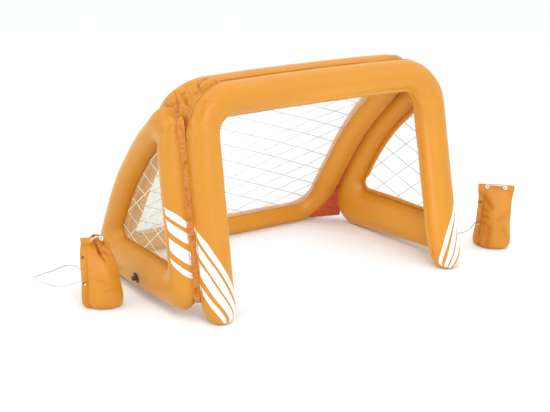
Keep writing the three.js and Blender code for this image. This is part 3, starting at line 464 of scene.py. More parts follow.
def waves(points, seed, length, count=9):
    """A soft random field from -1 to 1: the sum of sines in many directions, each near one wavelength."""
    dice = np.random.default_rng(seed)
    direction = unit(dice.normal(size=(count, 3)))
    direction = direction * (2 * math.pi / length) * dice.uniform(0.6, 1.5, (count, 1))
    phase = dice.uniform(0, 2 * math.pi, count)
    total = np.zeros(points.shape[:-1])
    for k in range(count):
        total += np.sin(points @ direction[k] + phase[k])
    return total / math.sqrt(count / 2) / 2


def creases(points, seed, length):
    """Sharp valleys between round pillows: one less the size of a wave field, squared."""
    return (1 - np.clip(np.abs(waves(points, seed, length)) * 1.6, 0, 1)) ** 2


def near(points, places, reach):
    """One at the places, fading to nothing over the reach."""
    gap = np.min([np.linalg.norm(points - p, axis=-1) for p in places], axis=0)
    return np.exp(-(gap / reach) ** 2)


corner_tops = np.array([[s * 560.0, 205.0, 712.0] for s in (-1, 1)])
relief_sizes = {"front_arch": (0.9, 0.5), "right_side_frame": (1.6, 1.0), "left_side_frame": (1.6, 1.0),
                "back_frame": (1.4, 1.0)}
gather_rate, weld_reach, dent_length, crumple_reach = 0.27, 17, 150, 95
crumples = [(4.6, 40, 62), (2.2, 41, 30)]


def bowed(point):
    """The blown top bars bow upwards: a rise that is full in the middle and gone at either end and below."""
    middle = np.clip(1 - (point[..., 0] / bow_half_span) ** 2, 0, 1)
    point[..., 2] += bar_bow * middle * np.clip((point[..., 2] - bow_from) / bow_over, 0, 1)
    return point


def tube_surface(name, run, angle, lift=0.0):
    """Centre + out * a * cos(angle) + across * b * sin(angle), relief and lift; also a mark of painted shade.
    """
    tube = tubes[name]
    run, angle = np.broadcast_arrays(np.asarray(run, float), np.asarray(angle, float))
    centre, out, across, a, b = at(tube, run)
    cosine, sine = np.cos(angle)[..., None], np.sin(angle)[..., None]
    point = centre + out * a * cosine + across * b * sine
    normal = unit(out * cosine / np.maximum(a, 1) + across * sine / np.maximum(b, 1))
    pucker, dent = relief_sizes[name]
    seed = 3 + sorted(relief_sizes).index(name)
    line = on_line(run)
    phase = run * gather_rate + 2.2 * waves(line, seed, 90) + 3 * waves(line, seed + 9, 31)
    gathers = 0.5 + 0.5 * np.sin(phase)
    strength = 0.35 + 0.65 * np.clip(waves(line, seed + 20, 160) + 0.3, 0, 1)
    from_weld = a[..., 0] * np.minimum(angle % math.pi, math.pi - angle % math.pi)
    seam = np.exp(-(from_weld / weld_reach) ** 2)
    crumpled = near(point, corner_tops, crumple_reach)
    folds = sum(depth * creases(point, seed + more, length) for depth, more, length in crumples)
    dents = dent * waves(point, seed + 30, dent_length)
    height = -pucker * seam * gathers * strength + dents - crumpled * folds
    point = bowed(point + normal * (height[..., None] + lift))
    point[..., 2] = np.maximum(point[..., 2], 0)
    # The second value is painted shade: darker red in the corner crumples and in the puckers along each weld.
    return point, np.clip(0.1 * crumpled * folds + 0.12 * seam * gathers * strength, 0, 1)


def tube_point(name, run, angle, lift=0.0):
    """The place alone."""
    return tube_surface(name, run, angle, lift)[0]


def tube_skin(name, ring_gap=4.0, around=96):
    """The whole chamber as a grid of rings."""
    tube = tubes[name]
    rows = int(tube["run"][-1] / ring_gap)
    run = np.linspace(0, tube["run"][-1], rows, endpoint=not tube["loop"])[:, None]
    angle = np.linspace(0, 2 * math.pi, around, endpoint=False)[None]
    points, folds = tube_surface(name, run, angle)
    # The fold mark carries that painted shade to the shader.
    return skin(name + "_skin", points, wrap_rows=tube["loop"], capped=not tube["loop"],
                marks={"fold": folds})


# %% [markdown]
# Materials. Every node material here is made by small helpers that add a node, link its inputs and hand back
# the socket that carries its result, so a finish reads as a short recipe.

# %% Helpers for node materials
def add(tree, kind, inputs, **settings):
    """A node of a kind, with settings set on it and inputs linked or given."""
    node = tree.nodes.new(kind)
    for key, value in settings.items():
        setattr(node, key, value)
    for key, value in inputs.items():
        if isinstance(value, bpy.types.NodeSocket):
            tree.links.new(value, node.inputs[key])
        else:
            node.inputs[key].default_value = value
    return node


def coordinate(tree, kind="Object"):
    """The object's own coordinates, or its UV map."""
    return add(tree, "ShaderNodeTexCoord", {}).outputs[kind]


def noise(tree, place, scale, detail=2.0):
    """Soft noise from 0 to 1."""
    return add(tree, "ShaderNodeTexNoise", {"Vector": place, "Scale": scale, "Detail": detail}).outputs["Fac"]


def ranged(tree, value, low, high, start=0.0, end=1.0):
    """A value from start to end, moved to low to high."""
    return add(tree, "ShaderNodeMapRange", {"Value": value, "From Min": start, "From Max": end,
                                            "To Min": low, "To Max": high}).outputs["Result"]


def worked(tree, operation, first, second):
    """One step of arithmetic."""
    return add(tree, "ShaderNodeMath", {0: first, 1: second}, operation=operation).outputs[0]


def blended(tree, share, first, second):
    """The first colour at share 0, the second at share 1."""
    return add(tree, "ShaderNodeMix", {"Factor": share, 6: first, 7: second}, data_type="RGBA").outputs[2]


def bumped(tree, height, strength, distance):
    """A normal tipped by a height."""
    return add(tree, "ShaderNodeBump", {"Height": height, "Strength": strength,
                                        "Distance": distance}).outputs["Normal"]


def linear(red, green, blue):
    """A colour as seen on a screen, 0 to 255, turned to the linear values that shaders take."""
    shown = (red, green, blue)
    return (*(((c / 255 + 0.055) / 1.055) ** 2.4 if c > 10 else c / 3294 for c in shown), 1.0)


def new_group(name, inputs, outputs):
    """An empty node group with named float and colour sockets."""
    group = bpy.data.node_groups.new(name, "ShaderNodeTree")
    for label, kind, value in inputs:
        group.interface.new_socket(label, in_out="INPUT", socket_type=kind).default_value = value
    for label, kind in outputs:
        group.interface.new_socket(label, in_out="OUTPUT", socket_type=kind)
    return group, group.nodes.new("NodeGroupInput"), group.nodes.new("NodeGroupOutput")


def new_material(name):
    """A material with nothing in it yet, and its node tree."""
    finish = bpy.data.materials.new(name)
    finish.use_nodes = True
    finish.node_tree.nodes.clear()
    return finish, finish.node_tree


def close(tree, inputs):
    """Ends a material with a shader that takes these inputs."""
    shader = add(tree, "ShaderNodeBsdfPrincipled", inputs)
    tree.links.new(shader.outputs[0], tree.nodes.new("ShaderNodeOutputMaterial").inputs["Surface"])


# %% [markdown]
# Soft vinyl is calendered sheet: a fine embossed grain, faint cloudiness in its colour, and gloss that
# changes a little from place to place. Where the fold mark is set it is painted a darker red: painted
# shade in creases, puckers and valleys, and the weld's own darker line along each window flange. Five
# finishes share that effect, so it is a node group.

# %% The vinyl effect as a node group
crease_shade_and_weld_colour, cloud_most, rub_depth, ripple_height = linear(168, 66, 22), 0.3, 0.14, 6.0
vinyl_group, took, gave = new_group("vinyl_effect", [
    ("Colour", "NodeSocketColor", (0.8, 0.3, 0.05, 1)), ("Deep", "NodeSocketColor", (0.6, 0.15, 0.02, 1)),
    ("Roughness", "NodeSocketFloat", 0.35), ("Grain", "NodeSocketFloat", 900.0)],
    [("Colour", "NodeSocketColor"), ("Roughness", "NodeSocketFloat"), ("Height", "NodeSocketFloat")])
place = coordinate(vinyl_group)
cloud = ranged(vinyl_group, noise(vinyl_group, place, 7.0, 3.0), 0.0, cloud_most, 0.35, 0.75)
tint = blended(vinyl_group, cloud, took.outputs["Colour"], took.outputs["Deep"])
# The fold mark paints in a darker red: painted shade in creases, puckers and valleys, and the darker weld
# line of each window flange.
crease_shade_and_weld_mark = add(vinyl_group, "ShaderNodeAttribute", {}, attribute_name="fold").outputs["Fac"]
tinted_with_shade_and_weld = blended(vinyl_group, crease_shade_and_weld_mark, tint, crease_shade_and_weld_colour)
rub = worked(vinyl_group, "MULTIPLY", noise(vinyl_group, place, 38.0), rub_depth)
gloss = worked(vinyl_group, "ADD", took.outputs["Roughness"], rub)
grain = add(vinyl_group, "ShaderNodeTexVoronoi", {"Vector": place, "Scale": took.outputs["Grain"]})
wide = worked(vinyl_group, "MULTIPLY", noise(vinyl_group, place, 26.0), ripple_height)
tall = worked(vinyl_group, "ADD", grain.outputs["Distance"], wide)
for label, socket in (("Colour", tinted_with_shade_and_weld), ("Roughness", gloss), ("Height", tall)):
    vinyl_group.links.new(socket, gave.inputs[label])
print("the vinyl effect has", len(vinyl_group.nodes), "nodes")


def vinyl(name, colour, deep, roughness):
    """A vinyl finish: the shared effect feeding a shader with a pale sheen where the sheet turns away."""
    finish, tree = new_material(name)
    effect = tree.nodes.new("ShaderNodeGroup")
    effect.node_tree = vinyl_group
    for key, value in (("Colour", colour), ("Deep", deep), ("Roughness", roughness)):
        effect.inputs[key].default_value = value
    close(tree, {"Base Color": effect.outputs["Colour"], "Roughness": effect.outputs["Roughness"],
                 "Normal": bumped(tree, effect.outputs["Height"], 0.25, 0.0004), "IOR": 1.52,
                 "Specular IOR Level": 0.38, "Sheen Weight": 0.7, "Sheen Roughness": 0.3,
                 "Sheen Tint": linear(255, 222, 130)})
    return finish


body_vinyl = vinyl("orange_vinyl", linear(200, 134, 30), linear(196, 120, 24), 0.26)
# A dark red vinyl for the strips and webs deep in the valleys: painted shade.
valley_shade_finish = vinyl("seam_vinyl", linear(188, 76, 36), linear(172, 64, 30), 0.38)
# A slightly darker orange for the post strips: painted shade of the valley between the posts.
post_strip_shade_finish = vinyl("shaded_gathered_vinyl", linear(200, 126, 32), linear(188, 106, 28), 0.3)
bag_vinyl = vinyl("bag_vinyl", linear(203, 134, 30), linear(197, 118, 24), 0.34)
print_finish = vinyl("white_print", linear(232, 232, 230), linear(226, 226, 224), 0.4)
print("vinyl finishes:", [m.name for m in bpy.data.materials if "vinyl" in m.name])

# %% [markdown]
# Plain plastics and the woven cord. The black valves and eyelets are glossy moulded plastic with a slight
# flow grain, the rings are white, and the cord is a twisted pale line whose bump follows its own UV map.

# %% Plastics and cord
def plastic(name, colour, roughness):
    """Moulded plastic: one colour with faint clouds, and a fine satin bump."""
    finish, tree = new_material(name)
    cloud = noise(tree, coordinate(tree), 90.0, 3.0)
    darker = tuple(c * 0.86 for c in colour[:3]) + (1.0,)
    close(tree, {"Base Color": blended(tree, cloud, colour, darker),
                 "Roughness": ranged(tree, cloud, roughness - 0.06, roughness + 0.1),
                 "Normal": bumped(tree, cloud, 0.15, 0.0003), "IOR": 1.49})
    return finish


def twine(name, colour, shadow):
    """Twisted cord: diagonal bands on the UV map paint shade into the grooves and raise the strands."""
    finish, tree = new_material(name)
    turned = add(tree, "ShaderNodeMapping", {"Vector": coordinate(tree, "UV"), "Rotation": (0, 0, 0.9)})
    band = add(tree, "ShaderNodeTexWave", {"Vector": turned.outputs[0], "Scale": 260.0, "Distortion": 0.6})
    band = band.outputs["Fac"]
    close(tree, {"Base Color": blended(tree, band, shadow, colour), "Roughness": 0.78,
                 "Normal": bumped(tree, band, 0.5, 0.0005), "Sheen Weight": 0.25})
    return finish


black_finish = plastic("black_plastic", linear(34, 34, 36), 0.32)
white_finish = plastic("white_plastic", linear(240, 240, 238), 0.34)
cord_finish = twine("white_cord", linear(232, 232, 232), linear(206, 207, 208))
print("plain finishes:", black_finish.name, white_finish.name, cord_finish.name)

# %% [markdown]
# The windows are clear film with a printed net, not knotted twine: in the photograph its lines lie flat on
# the film and cross without knots. The print is worked out from two families of slanted lines on the film's
# own UV map: a line shows where the distance to the nearest multiple of the pitch is under half its width.
# Each family is given by its slope on the map, half its pitch and its start.

# %% Printed film
line_width, line_edge, line_cover = 0.0033, 0.0006, 0.86


def line_family(tree, uv, along_u, along_v, half_pitch, start):
    """One where u * along_u + v * along_v - start is within half a width of a multiple of the pitch."""
    split = add(tree, "ShaderNodeSeparateXYZ", {"Vector": uv})
    u = worked(tree, "MULTIPLY", split.outputs["X"], along_u)
    v = worked(tree, "MULTIPLY", split.outputs["Y"], along_v)
    moved = worked(tree, "SUBTRACT", worked(tree, "ADD", u, v), start)
    gap = worked(tree, "PINGPONG", moved, half_pitch)
    return ranged(tree, gap, 1.0, 0.0, line_width / 2, line_width / 2 + line_edge)


def printed_film(name, families, ink, milk, veils):
    """Clear film, a little milky, with pale lines printed on it where any family of lines passes."""
    finish, tree = new_material(name)
    families = [line_family(tree, coordinate(tree, "UV"), *family) for family in families]
    line = worked(tree, "MAXIMUM", *families)
    mist = noise(tree, coordinate(tree), 9.0)
    clear = add(tree, "ShaderNodeMix", {0: line, 2: ranged(tree, mist, *veils), 3: line_cover})
    close(tree, {"Base Color": blended(tree, line, milk, ink), "Roughness": ranged(tree, line, 0.12, 0.4),
                 "Alpha": clear.outputs[0], "Normal": bumped(tree, mist, 0.2, 0.002), "IOR": 1.5})
    return finish


# The back and right windows' lines are the left window's near-white print, painted grey as shade.
shaded_print_ink, clear_milk, thin_veil = linear(192, 197, 203), linear(218, 220, 213), (0.13, 0.2)
back_film = printed_film("printed_film_back", [(0.44, 1.0, 0.04065, 0.0249), (-0.44, 1.0, 0.0415, 0.0636)],
                         shaded_print_ink, clear_milk, thin_veil)
left_film = printed_film("printed_film_left", [(0.79, 1.0, 0.051, 0.493), (-0.41, 1.0, 0.037, 0.0552)],
                         linear(232, 229, 212), linear(192, 180, 136), (0.18, 0.24))
right_film = printed_film("printed_film_right", [(0.79, 1.0, 0.051, 0.478), (-0.36, 1.0, 0.03985, 0.063)],
                          shaded_print_ink, clear_milk, thin_veil)
print("films:", back_film.name, left_film.name, right_film.name)

# %% [markdown]
# ## The free cords
# Each anchor bag hangs on a short pale cord that leaves the eyelet of the flap under the side tube, loops
# over the floor and climbs to the bag's lower eyelet. The photograph shows most of both, so each length is
# that of the route it shows, run on to the flap. The points are the part's own.

# %% Bag sizes, needed for the cords' far ends
bag_height, bag_half_width, bag_half_depth, fin_width, bag_sheet = 266.0, 77.0, 52.0, 20.0, 3.0
fold_radius, fold_ease, fold_balance, fold_low, fold_high = 12.0, 3.0, 0.4, 0.45, 0.93
bag_levels = np.array([
    [0, .72, .6], [.02, .88, .82], [.07, .98, .96], [.15, 1, 1], [.26, .96, .98], [.38, .91, .92],
    [.52, .89, .8], [.66, .88, .6], [.78, .88, .37], [.86, .91, .18], [.92, .95, 0], [1, .96, 0]])
bags = {
    "left": {"foot": np.array([-803.0, 345, 0]), "lean": -24.0, "turn": math.radians(-10),
             "fold": math.radians(56), "flap": 1.25},
    "right": {"foot": np.array([870.0, 81, 0]), "lean": 4.0, "turn": math.radians(-44.5),
              "fold": math.radians(6), "flap": 0.0},
}
flap_start, flap_low, flap_rise = 45, 0.4, 0.4


def smooth(t):
    """0 below 0, 1 above 1, and 3t^2 - 2t^3 between."""
    t = np.clip(t, 0, 1)
    return t * t * (3 - 2 * t)


def bag_widths(share):
    """Half width and half depth of a bag at a share of its height."""
    return (bag_half_width * np.interp(share, bag_levels[:, 0], bag_levels[:, 1]),
            bag_half_depth * np.interp(share, bag_levels[:, 0], bag_levels[:, 2]))


def bag_place(bag, across, height):
    """Point, front and right direction on a bag's middle sheet, which folds into a V towards the top."""
    across, height = np.broadcast_arrays(np.asarray(across, float), np.asarray(height, float))
    _, half_depth = bag_widths(height / bag_height)
    fold = bag["fold"] * smooth((height / bag_height - fold_low) / (fold_high - fold_low))
    radius = fold_radius + fold_ease * half_depth
    reach = np.hypot(across, radius)
    ahead = np.sin(fold) * (reach - radius - fold_balance * bag_half_width)
    right = np.array([math.cos(bag["turn"]), math.sin(bag["turn"]), 0])
    front = np.array([math.sin(bag["turn"]), -math.cos(bag["turn"]), 0])
    tangent = unit(np.stack([np.cos(fold), np.sin(fold) * across / reach], -1))
    point = bag["foot"] + right * (across * np.cos(fold) + bag["lean"] * height / bag_height)[..., None] \
        + front * ahead[..., None]
    point = np.concatenate([point[..., :2], height[..., None]], -1)
    turned_out = smooth((height / bag_height - flap_low) / flap_rise) * bag["flap"]
    beyond = (np.maximum(-across - flap_start, 0) * turned_out)[..., None]
    point = point - beyond * (right * (1 - np.cos(fold))[..., None] + front * np.sin(fold)[..., None])
    return (point, -right * tangent[..., 1:] + front * tangent[..., :1],
            right * tangent[..., :1] + front * tangent[..., 1:])


# %% Eyes of the flaps and the bags
tab_share, tab_height, tab_reach, tab_overlap, tab_half, tab_thick = 0.93, 45.0, 19.0, 15.0, 12.0, 3.0
lower_eye, upper_eye, ring_reach, ring_drop = 95.0, 188.0, 36.0, 11.0
flange, cord_radius, knot_radius = 1.2, 2.5, 6.0


def bottom_skin(sign, share, drop):
    """A place on the outer skin of a side frame's bottom tube, and the direction out of it."""
    k0, k1 = arc_steps, arc_steps + side_steps[0]
    outer = side_outer[k0] + (side_outer[k1] - side_outer[k0]) * share
    inner = side_window[k0] + (side_window[k1] - side_window[k0]) * share
    low, high = side_plane(*outer), side_plane(*inner)
    along, half = unit(low - high), np.linalg.norm(low - high) / 2
    across = unit(np.cross(np.cross(along, side_normal), along))
    thick = post_radius + (slant_thickness - post_radius) * share + bottom_swell * math.sin(math.pi * share)
    point = (low + high) / 2 + across * thick * math.cos(drop) + along * half * math.sin(drop)
    outward = unit(across * math.cos(drop) / thick + along * math.sin(drop) / half)
    return (point - sink) * handed(sign), outward * handed(sign)


signs = {"left": -1, "right": 1}
tab_eyes, fin_eyes = {}, {}
for side, sign in signs.items():
    skin_point, _ = bottom_skin(sign, tab_share, 0)
    tab_eyes[side] = np.array([skin_point[0] + sign * tab_reach, skin_point[1], tab_height])
    fin_eyes[side] = [bag_place(bags[side], fin_width / 2 - bag_widths(h / bag_height)[0], h)
                      for h in (lower_eye, upper_eye)]
    print(side, "flap eye", tab_eyes[side].round(1), "bag eye", fin_eyes[side][0][0].round(1))

# %% The two anchor cords
cord_routes = {
    "left": [[-656, 579, 11], [-659, 600, 4], [-664, 640, 3], [-688, 720, 3], [-686, 762, 3], [-712, 786, 3],
             [-780, 764, 3], [-855, 745, 3], [-880, 728, 3], [-880, 700, 3], [-865, 640, 3], [-862, 580, 12],
             [-862, 520, 34], [-864, 460, 60], [-866, 415, 84]],
    "right": [[660, 560, 11], [675, 544, 4], [700, 525, 3], [740, 500, 3], [775, 455, 3], [785, 395, 3],
              [815, 330, 3], [860, 283, 3], [884, 256, 9], [888, 226, 32], [880, 192, 68]],
}
tab_top = tab_thick / 2 + seat_gap + flange
bag_top = bag_sheet / 2 + seat_gap + flange
cord_drop, cord_lead, cord_step, cord_pitch, cord_groove = 18, 14, 2.2, 16, 0.5
cord_pieces, cord_lines = {}, {}
for side in signs:
    eye, (bag_eye, bag_front, _) = tab_eyes[side], fin_eyes[side][0]
    stops = [eye + [0, 0, tab_top], eye - [0, 0, tab_top], eye - [0, 0, cord_drop], *cord_routes[side],
             bag_eye - bag_front * cord_lead, bag_eye - bag_front * bag_top, bag_eye + bag_front * bag_top]
    line = catmull(np.array(stops, float))
    line[:, 2] = np.maximum(line[:, 2], cord_radius)
    line = evenly(line, int(run_of(line)[-1] / cord_step))
    cord = skin(side + "_anchor_cord", bar_grid(line, cord_radius, cord_pitch, cord_groove), capped=True)
    cord_pieces[side] = dress(cord, side + "_anchor", cord_finish, "white_cord", side + "_tether_cord")
    cord_lines[side] = line
    print(side, "cord is", round(run_of(line)[-1]), "mm long")

# %% [markdown]
# ## Knots
# A cord's end is stopped by an overhand knot. The closed trefoil knot has the same crossings, and its line
# is a short formula, so a thick bar along it reads as a pulled-tight knot.

# %% Knots at both ends
def trefoil(centre, axis, radius, strand):
    """(sin t + 2 sin 2t, cos t - 2 cos 2t, -sin 3t), scaled so that the bar's outside has the radius."""
    t = np.linspace(0, 2 * math.pi, 90, endpoint=False)
    flat = np.stack([np.sin(t) + 2 * np.sin(2 * t), np.cos(t) - 2 * np.cos(2 * t), -1.1 * np.sin(3 * t)], -1)
    z = unit(axis)
    x = unit(np.cross(z, [0.3, 0.5, 0.8]))
    return centre + flat @ np.stack([x, np.cross(z, x), z]) * (radius - strand) / 3


def knot(name, centre, axis, radius, strand):
    """A bar of the strand's radius along the closed trefoil line."""
    line = trefoil(centre, axis, radius, strand)
    tangent = unit(np.roll(line, -1, 0) - np.roll(line, 1, 0))
    side = unit(np.cross(tangent, unit(line - centre + 1e-3)))
    third = np.cross(tangent, side)
    angle = np.linspace(0, 2 * math.pi, 10, endpoint=False)[:, None]
    ring = side[:, None] * np.cos(angle) + third[:, None] * np.sin(angle)
    return skin(name, line[:, None] + strand * ring, wrap_rows=True)


knot_strand, knot_stand, bag_knot_share, bag_strand = 2.1, 0.75, 0.8, 1.8
upwards = np.array([0, 0, 1.0])
for side in signs:
    eye, (bag_eye, bag_front, _) = tab_eyes[side], fin_eyes[side][0]
    middle = knot_stand * knot_radius + seat_gap
    flap_knot = knot(side + "_flap_end_knot", eye + upwards * (tab_top + middle), upwards,
                     knot_radius, knot_strand)
    bag_knot = knot(side + "_bag_end_knot", bag_eye + bag_front * (bag_top + middle), bag_front,
                    bag_knot_share * knot_radius, bag_strand)
    [dress(piece, side + "_anchor", cord_finish, "white_cord", side + node)
                         for piece, node in ((flap_knot, "_flap_knot"), (bag_knot, "_bag_knot"))]
    print(side, "knots are", 2 * knot_radius, "mm and", 2 * bag_knot_share * knot_radius, "mm across")

# %% [markdown]
# ## The air chambers
# Four tubes carry the goal. Each is one closed surface, a ring for every four millimetres of its path, fine
# enough to hold the puckers of its welds.

# %% The four chambers
for name in tubes:
    piece = dress(tube_skin(name), "goal", body_vinyl, "orange_vinyl", name)
    print(name, len(piece.data.polygons), "faces")

# %% [markdown]
# ## Weld fins
# Two sheets are welded edge to edge and trimmed, which leaves a thin fin along the outside and the inside of
# each tube. It catches the light as a fine line, so it is modelled and not painted.

# %% Weld fins
fin_height, fin_root, fin_half_thick, fin_step, arch_margin = 3.4, 0.6, 0.7, 6, 70
fin_sway, fin_sway_length, fin_seed = 0.9, 70, 77


def weld_fin(name, tube_name, angle, start, end):
    """A thin rounded strip on a tube at one angle: the section is an oval, its height outwards."""
    tube = tubes[tube_name]
    run = np.linspace(start, end, int((end - start) / fin_step), endpoint=not tube["loop"])
    foot_point = tube_point(tube_name, run, np.full_like(run, angle))
    out = unit(tube_point(tube_name, run, np.full_like(run, angle), 4.0) - foot_point)
    across = at(tube, run)[2]
    sway = across * (fin_sway * waves(on_line(run), fin_seed, fin_sway_length))[:, None]
    t = np.linspace(0, 2 * math.pi, 10, endpoint=False)
    grid = foot_point[:, None] + out[:, None] * (fin_height / 2 * (1 + 1.1 * np.cos(t)) - fin_root)[:, None] \
        + across[:, None] * (fin_half_thick * np.sin(t))[:, None] \
        + sway[:, None] * (1 + np.cos(t))[:, None] / 2
    grid[..., 2] = np.maximum(grid[..., 2], 0.2 + 0.1 * np.sin(t))
    return skin(name, grid, wrap_rows=tube["loop"], capped=not tube["loop"])


for tube_name, tube in tubes.items():
    margin = 0 if tube["loop"] else arch_margin
    for label, angle in (("outer", 0.0), ("inner", math.pi)):
        fin = weld_fin(f"{tube_name}_{label}_weld", tube_name, angle, margin, tube["run"][-1] - margin)
        dress(fin, "goal", body_vinyl, "orange_vinyl")
print("fins stand", fin_height, "mm high")

# %% [markdown]
# ## Film windows
# Each window is a thin sheet filled from its middle to its edge. It is pulled by the tubes, so shallow
# ripples run between its edge and its middle, deepest half way.

# %% Film windows
film_thick, film_overlap, film_step, film_rings, film_seed = 0.5, 2.5, 7, 40, 11
ripple_depth, ripple_rate, ripple_bend, ripple_fade, sag_depth, sag_length = 1.6, 0.09, 260, 180, 3.0, 420


def film(name, outline, matched, place, normal_at):
    """Rings, middle + (edge - middle) * share. Ripples are deepest half way; the weld hides the rim."""
    outline = outline + unit(matched - outline) * film_overlap
    outline = np.vstack([outline, outline[:1]])
    run = run_of(outline)
    s = np.linspace(0, run[-1], int(run[-1] / film_step), endpoint=False)
    edge = sampled(s, run, outline)
    middle = edge.mean(0)
    share = np.linspace(0.0, 1, film_rings)[:, None] ** 0.8
    flat = middle + (edge - middle) * share[..., None]
    line = on_line(s)
    swing = np.sin(s * ripple_rate + 3 * waves(line, film_seed, ripple_bend)) \
        * (0.4 + 0.6 * waves(line, film_seed + 1, ripple_fade) ** 2)
    ripple = ripple_depth * share * (1 - share) * 4 * swing
    level = np.concatenate([flat, 0 * flat[..., :1]], -1)
    sag = sag_depth * (1 - share ** 2) * waves(level, film_seed + 2, sag_length)
    points, normal = place(flat[..., 0], flat[..., 1]), normal_at(flat[..., 1])
    height = (ripple + sag)[..., None]
    near_side = points + normal * (height + film_thick / 2)
    far_side = points + normal * (height - film_thick / 2)
    piece = skin(name, np.concatenate([near_side, far_side[::-1]]))
    flat_uv = np.concatenate([flat, flat[::-1]]) / 1000
    uv = piece.data.uv_layers[0].data
    index = np.empty(len(uv), np.int32)
    piece.data.loops.foreach_get("vertex_index", index)
    uv.foreach_set("uv", flat_uv.reshape(-1, 2)[index].astype(np.float32).ravel())
    return piece


for side, sign in signs.items():
    flip = handed(sign)
    piece = film(side + "_window_sheet", side_window, side_outer,
                 lambda d, h: (side_plane(d, h) - sink) * flip,
                 lambda h: np.broadcast_to(side_normal * flip, h.shape + (3,)))
    dress(piece, "goal", left_film if side == "left" else right_film, "printed_film", side + "_window_film")
piece = film("back_window_sheet", back_window, back_outer, lambda w, r: back_point(w, r) - sink, back_normal)
dress(piece, "goal", back_film, "printed_film", "back_window_film")
print("the back film has", len(piece.data.polygons), "faces")

# %% [markdown]
# The film is welded to a flat flange of the tube's own vinyl, which shows as a narrow border inside each
# side window, with the weld as a darker line along it.

# %% Flanges round the side windows
flange_reach, flange_sink, flange_thick = {"left": 6.0, "right": 20.0}, 3.0, 1.4
flange_ripple, flange_ripple_length, flange_seed = 0.3, 38, 17
weld_at, weld_width, weld_mark = 4, 3.5, 0.75


def flange_band(side, sign):
    """A flat loop thicker than the film, from reach inside the window's outline to a place in the tube."""
    reach = flange_reach[side]
    inward = unit(side_window - side_outer)
    across = np.concatenate([np.linspace(reach, -flange_sink, 14), np.linspace(-flange_sink, reach, 14)])
    side_of = np.repeat([1.0, -1.0], 14) * np.where(across > reach - 0.1, 0.35, 1)
    flat = side_window[:, None] + inward[:, None] * across[None, :, None]
    ripple = flange_ripple * waves(on_line(run_of(side_window)), flange_seed, flange_ripple_length)[:, None] \
        * np.clip(across / reach, 0, 1)
    points = side_plane(flat[..., 0], flat[..., 1]) - sink
    points = points + side_normal * (side_of * flange_thick + ripple)[..., None]
    weld = np.broadcast_to(weld_mark * np.exp(-((across - weld_at) / weld_width) ** 2), points.shape[:2])
    return skin(side + "_window_flange", points * handed(sign), wrap_rows=True, marks={"fold": weld})


for side, sign in signs.items():
    dress(flange_band(side, sign), "goal", body_vinyl, "orange_vinyl")
print("flanges reach", flange_reach, "mm into the windows")

# %% [markdown]
# ## Joining strips
# The chambers are held together by strips of vinyl welded into the valleys between them. From outside a
# strip is a gathered line: a shallow trough whose floor puckers along its length. Its darker colour is
# painted shade of the valley: a dark red on the slant strips and on a thin line where each post strip meets
# the arch, a slightly darker orange on the post strips, and darker red again in the valleys of its puckers.

# %% Joining strips in the valleys
post_strip_size, post_strip_span, post_strip_heights = (31, 37, 18), (-0.5, 1), (70, 705)
post_crevice_shade_size, post_crevice_shade_span, slant_strip_size = (26, 33, 18), (-1, -0.44), (12, 24, 15)
bar_strip_size, bar_strip_half = (15, 24, 16), 385
trough_step, trough_thick, trough_taper, strip_rows, bar_rows = 3.2, 2.0, 30, 40, 60
trough_slip, slip_length, pucker_length, crease_length, rib_length, rib_rate = 9, 50, 24, 42, 60, 0.42


def two_faces(top, under):
    """The columns of one face, then those of the other backwards: a closed section."""
    return np.concatenate([top, under[:, ::-1]], axis=1)


def trough(name, line, size, seed, gather=2.0, span=(-1, 1)):
    """A thin gathered shell: outward * (low + (high - low) * t^2) + across * half_width * t."""
    low, high, half_width = size
    run = run_of(line[0])
    s = np.linspace(0, run[-1], int(run[-1] / trough_step))
    contact, outward, across = (sampled(s, run, part) for part in line)
    outward, across = unit(outward), unit(across)
    t = np.linspace(*span, 17)
    slip = s[:, None] + trough_slip * t[None] * waves(on_line(s), seed + 2, slip_length)[:, None]
    ripple = np.stack([slip, half_width * t[None] + 0 * slip, 0 * slip], -1)
    ribs = np.sin(slip * rib_rate + 4 * waves(on_line(s), seed, rib_length)[:, None])
    rough = gather * (0.7 * waves(ripple, seed, pucker_length)
                      - 0.8 * creases(ripple, seed + 1, crease_length) + 0.3 * ribs)
    rough = rough * (1 - np.abs(t)[None] ** 4)
    fade = np.minimum(1, np.minimum(s, s[-1] - s) / trough_taper)[:, None] ** 0.5
    height = (low + (high - low) * t[None] ** 2) * (0.7 + 0.3 * fade) + rough * fade
    top = contact[:, None] + outward[:, None] * height[..., None] \
        + across[:, None] * (half_width * t[None] * (0.3 + 0.7 * fade))[..., None]
    # valley marks painted shade: darker red in the valleys of the puckers, and a little darker along the
    # trough's middle.
    valley = np.clip(-rough / gather - 0.2, 0, 1) * 0.5 + 0.05 * (1 - np.abs(t)[None])
    return skin(name, bowed(two_faces(top, top - outward[:, None] * trough_thick)), capped=True,
                marks={"fold": two_faces(valley, valley)})


def post_strip(sign):
    """Contact line of the arch's post and the side post, with its outward and across directions."""
    height = np.linspace(*post_strip_heights, strip_rows)[:, None]
    reach = (arch_radius + seat_gap / 2) / math.sqrt(1 - bearing.dot(post_axis) ** 2)
    contact = foot + post_axis * height / post_axis[2] + bearing * reach
    outward = unit(np.cross(post_axis, bearing))
    outward = outward * -np.sign(outward[1])
    across = unit(bearing - post_axis * bearing.dot(post_axis))
    one, flip = np.ones((strip_rows, 1)), handed(sign)
    return (contact - sink) * flip, one * outward * flip, one * across * flip


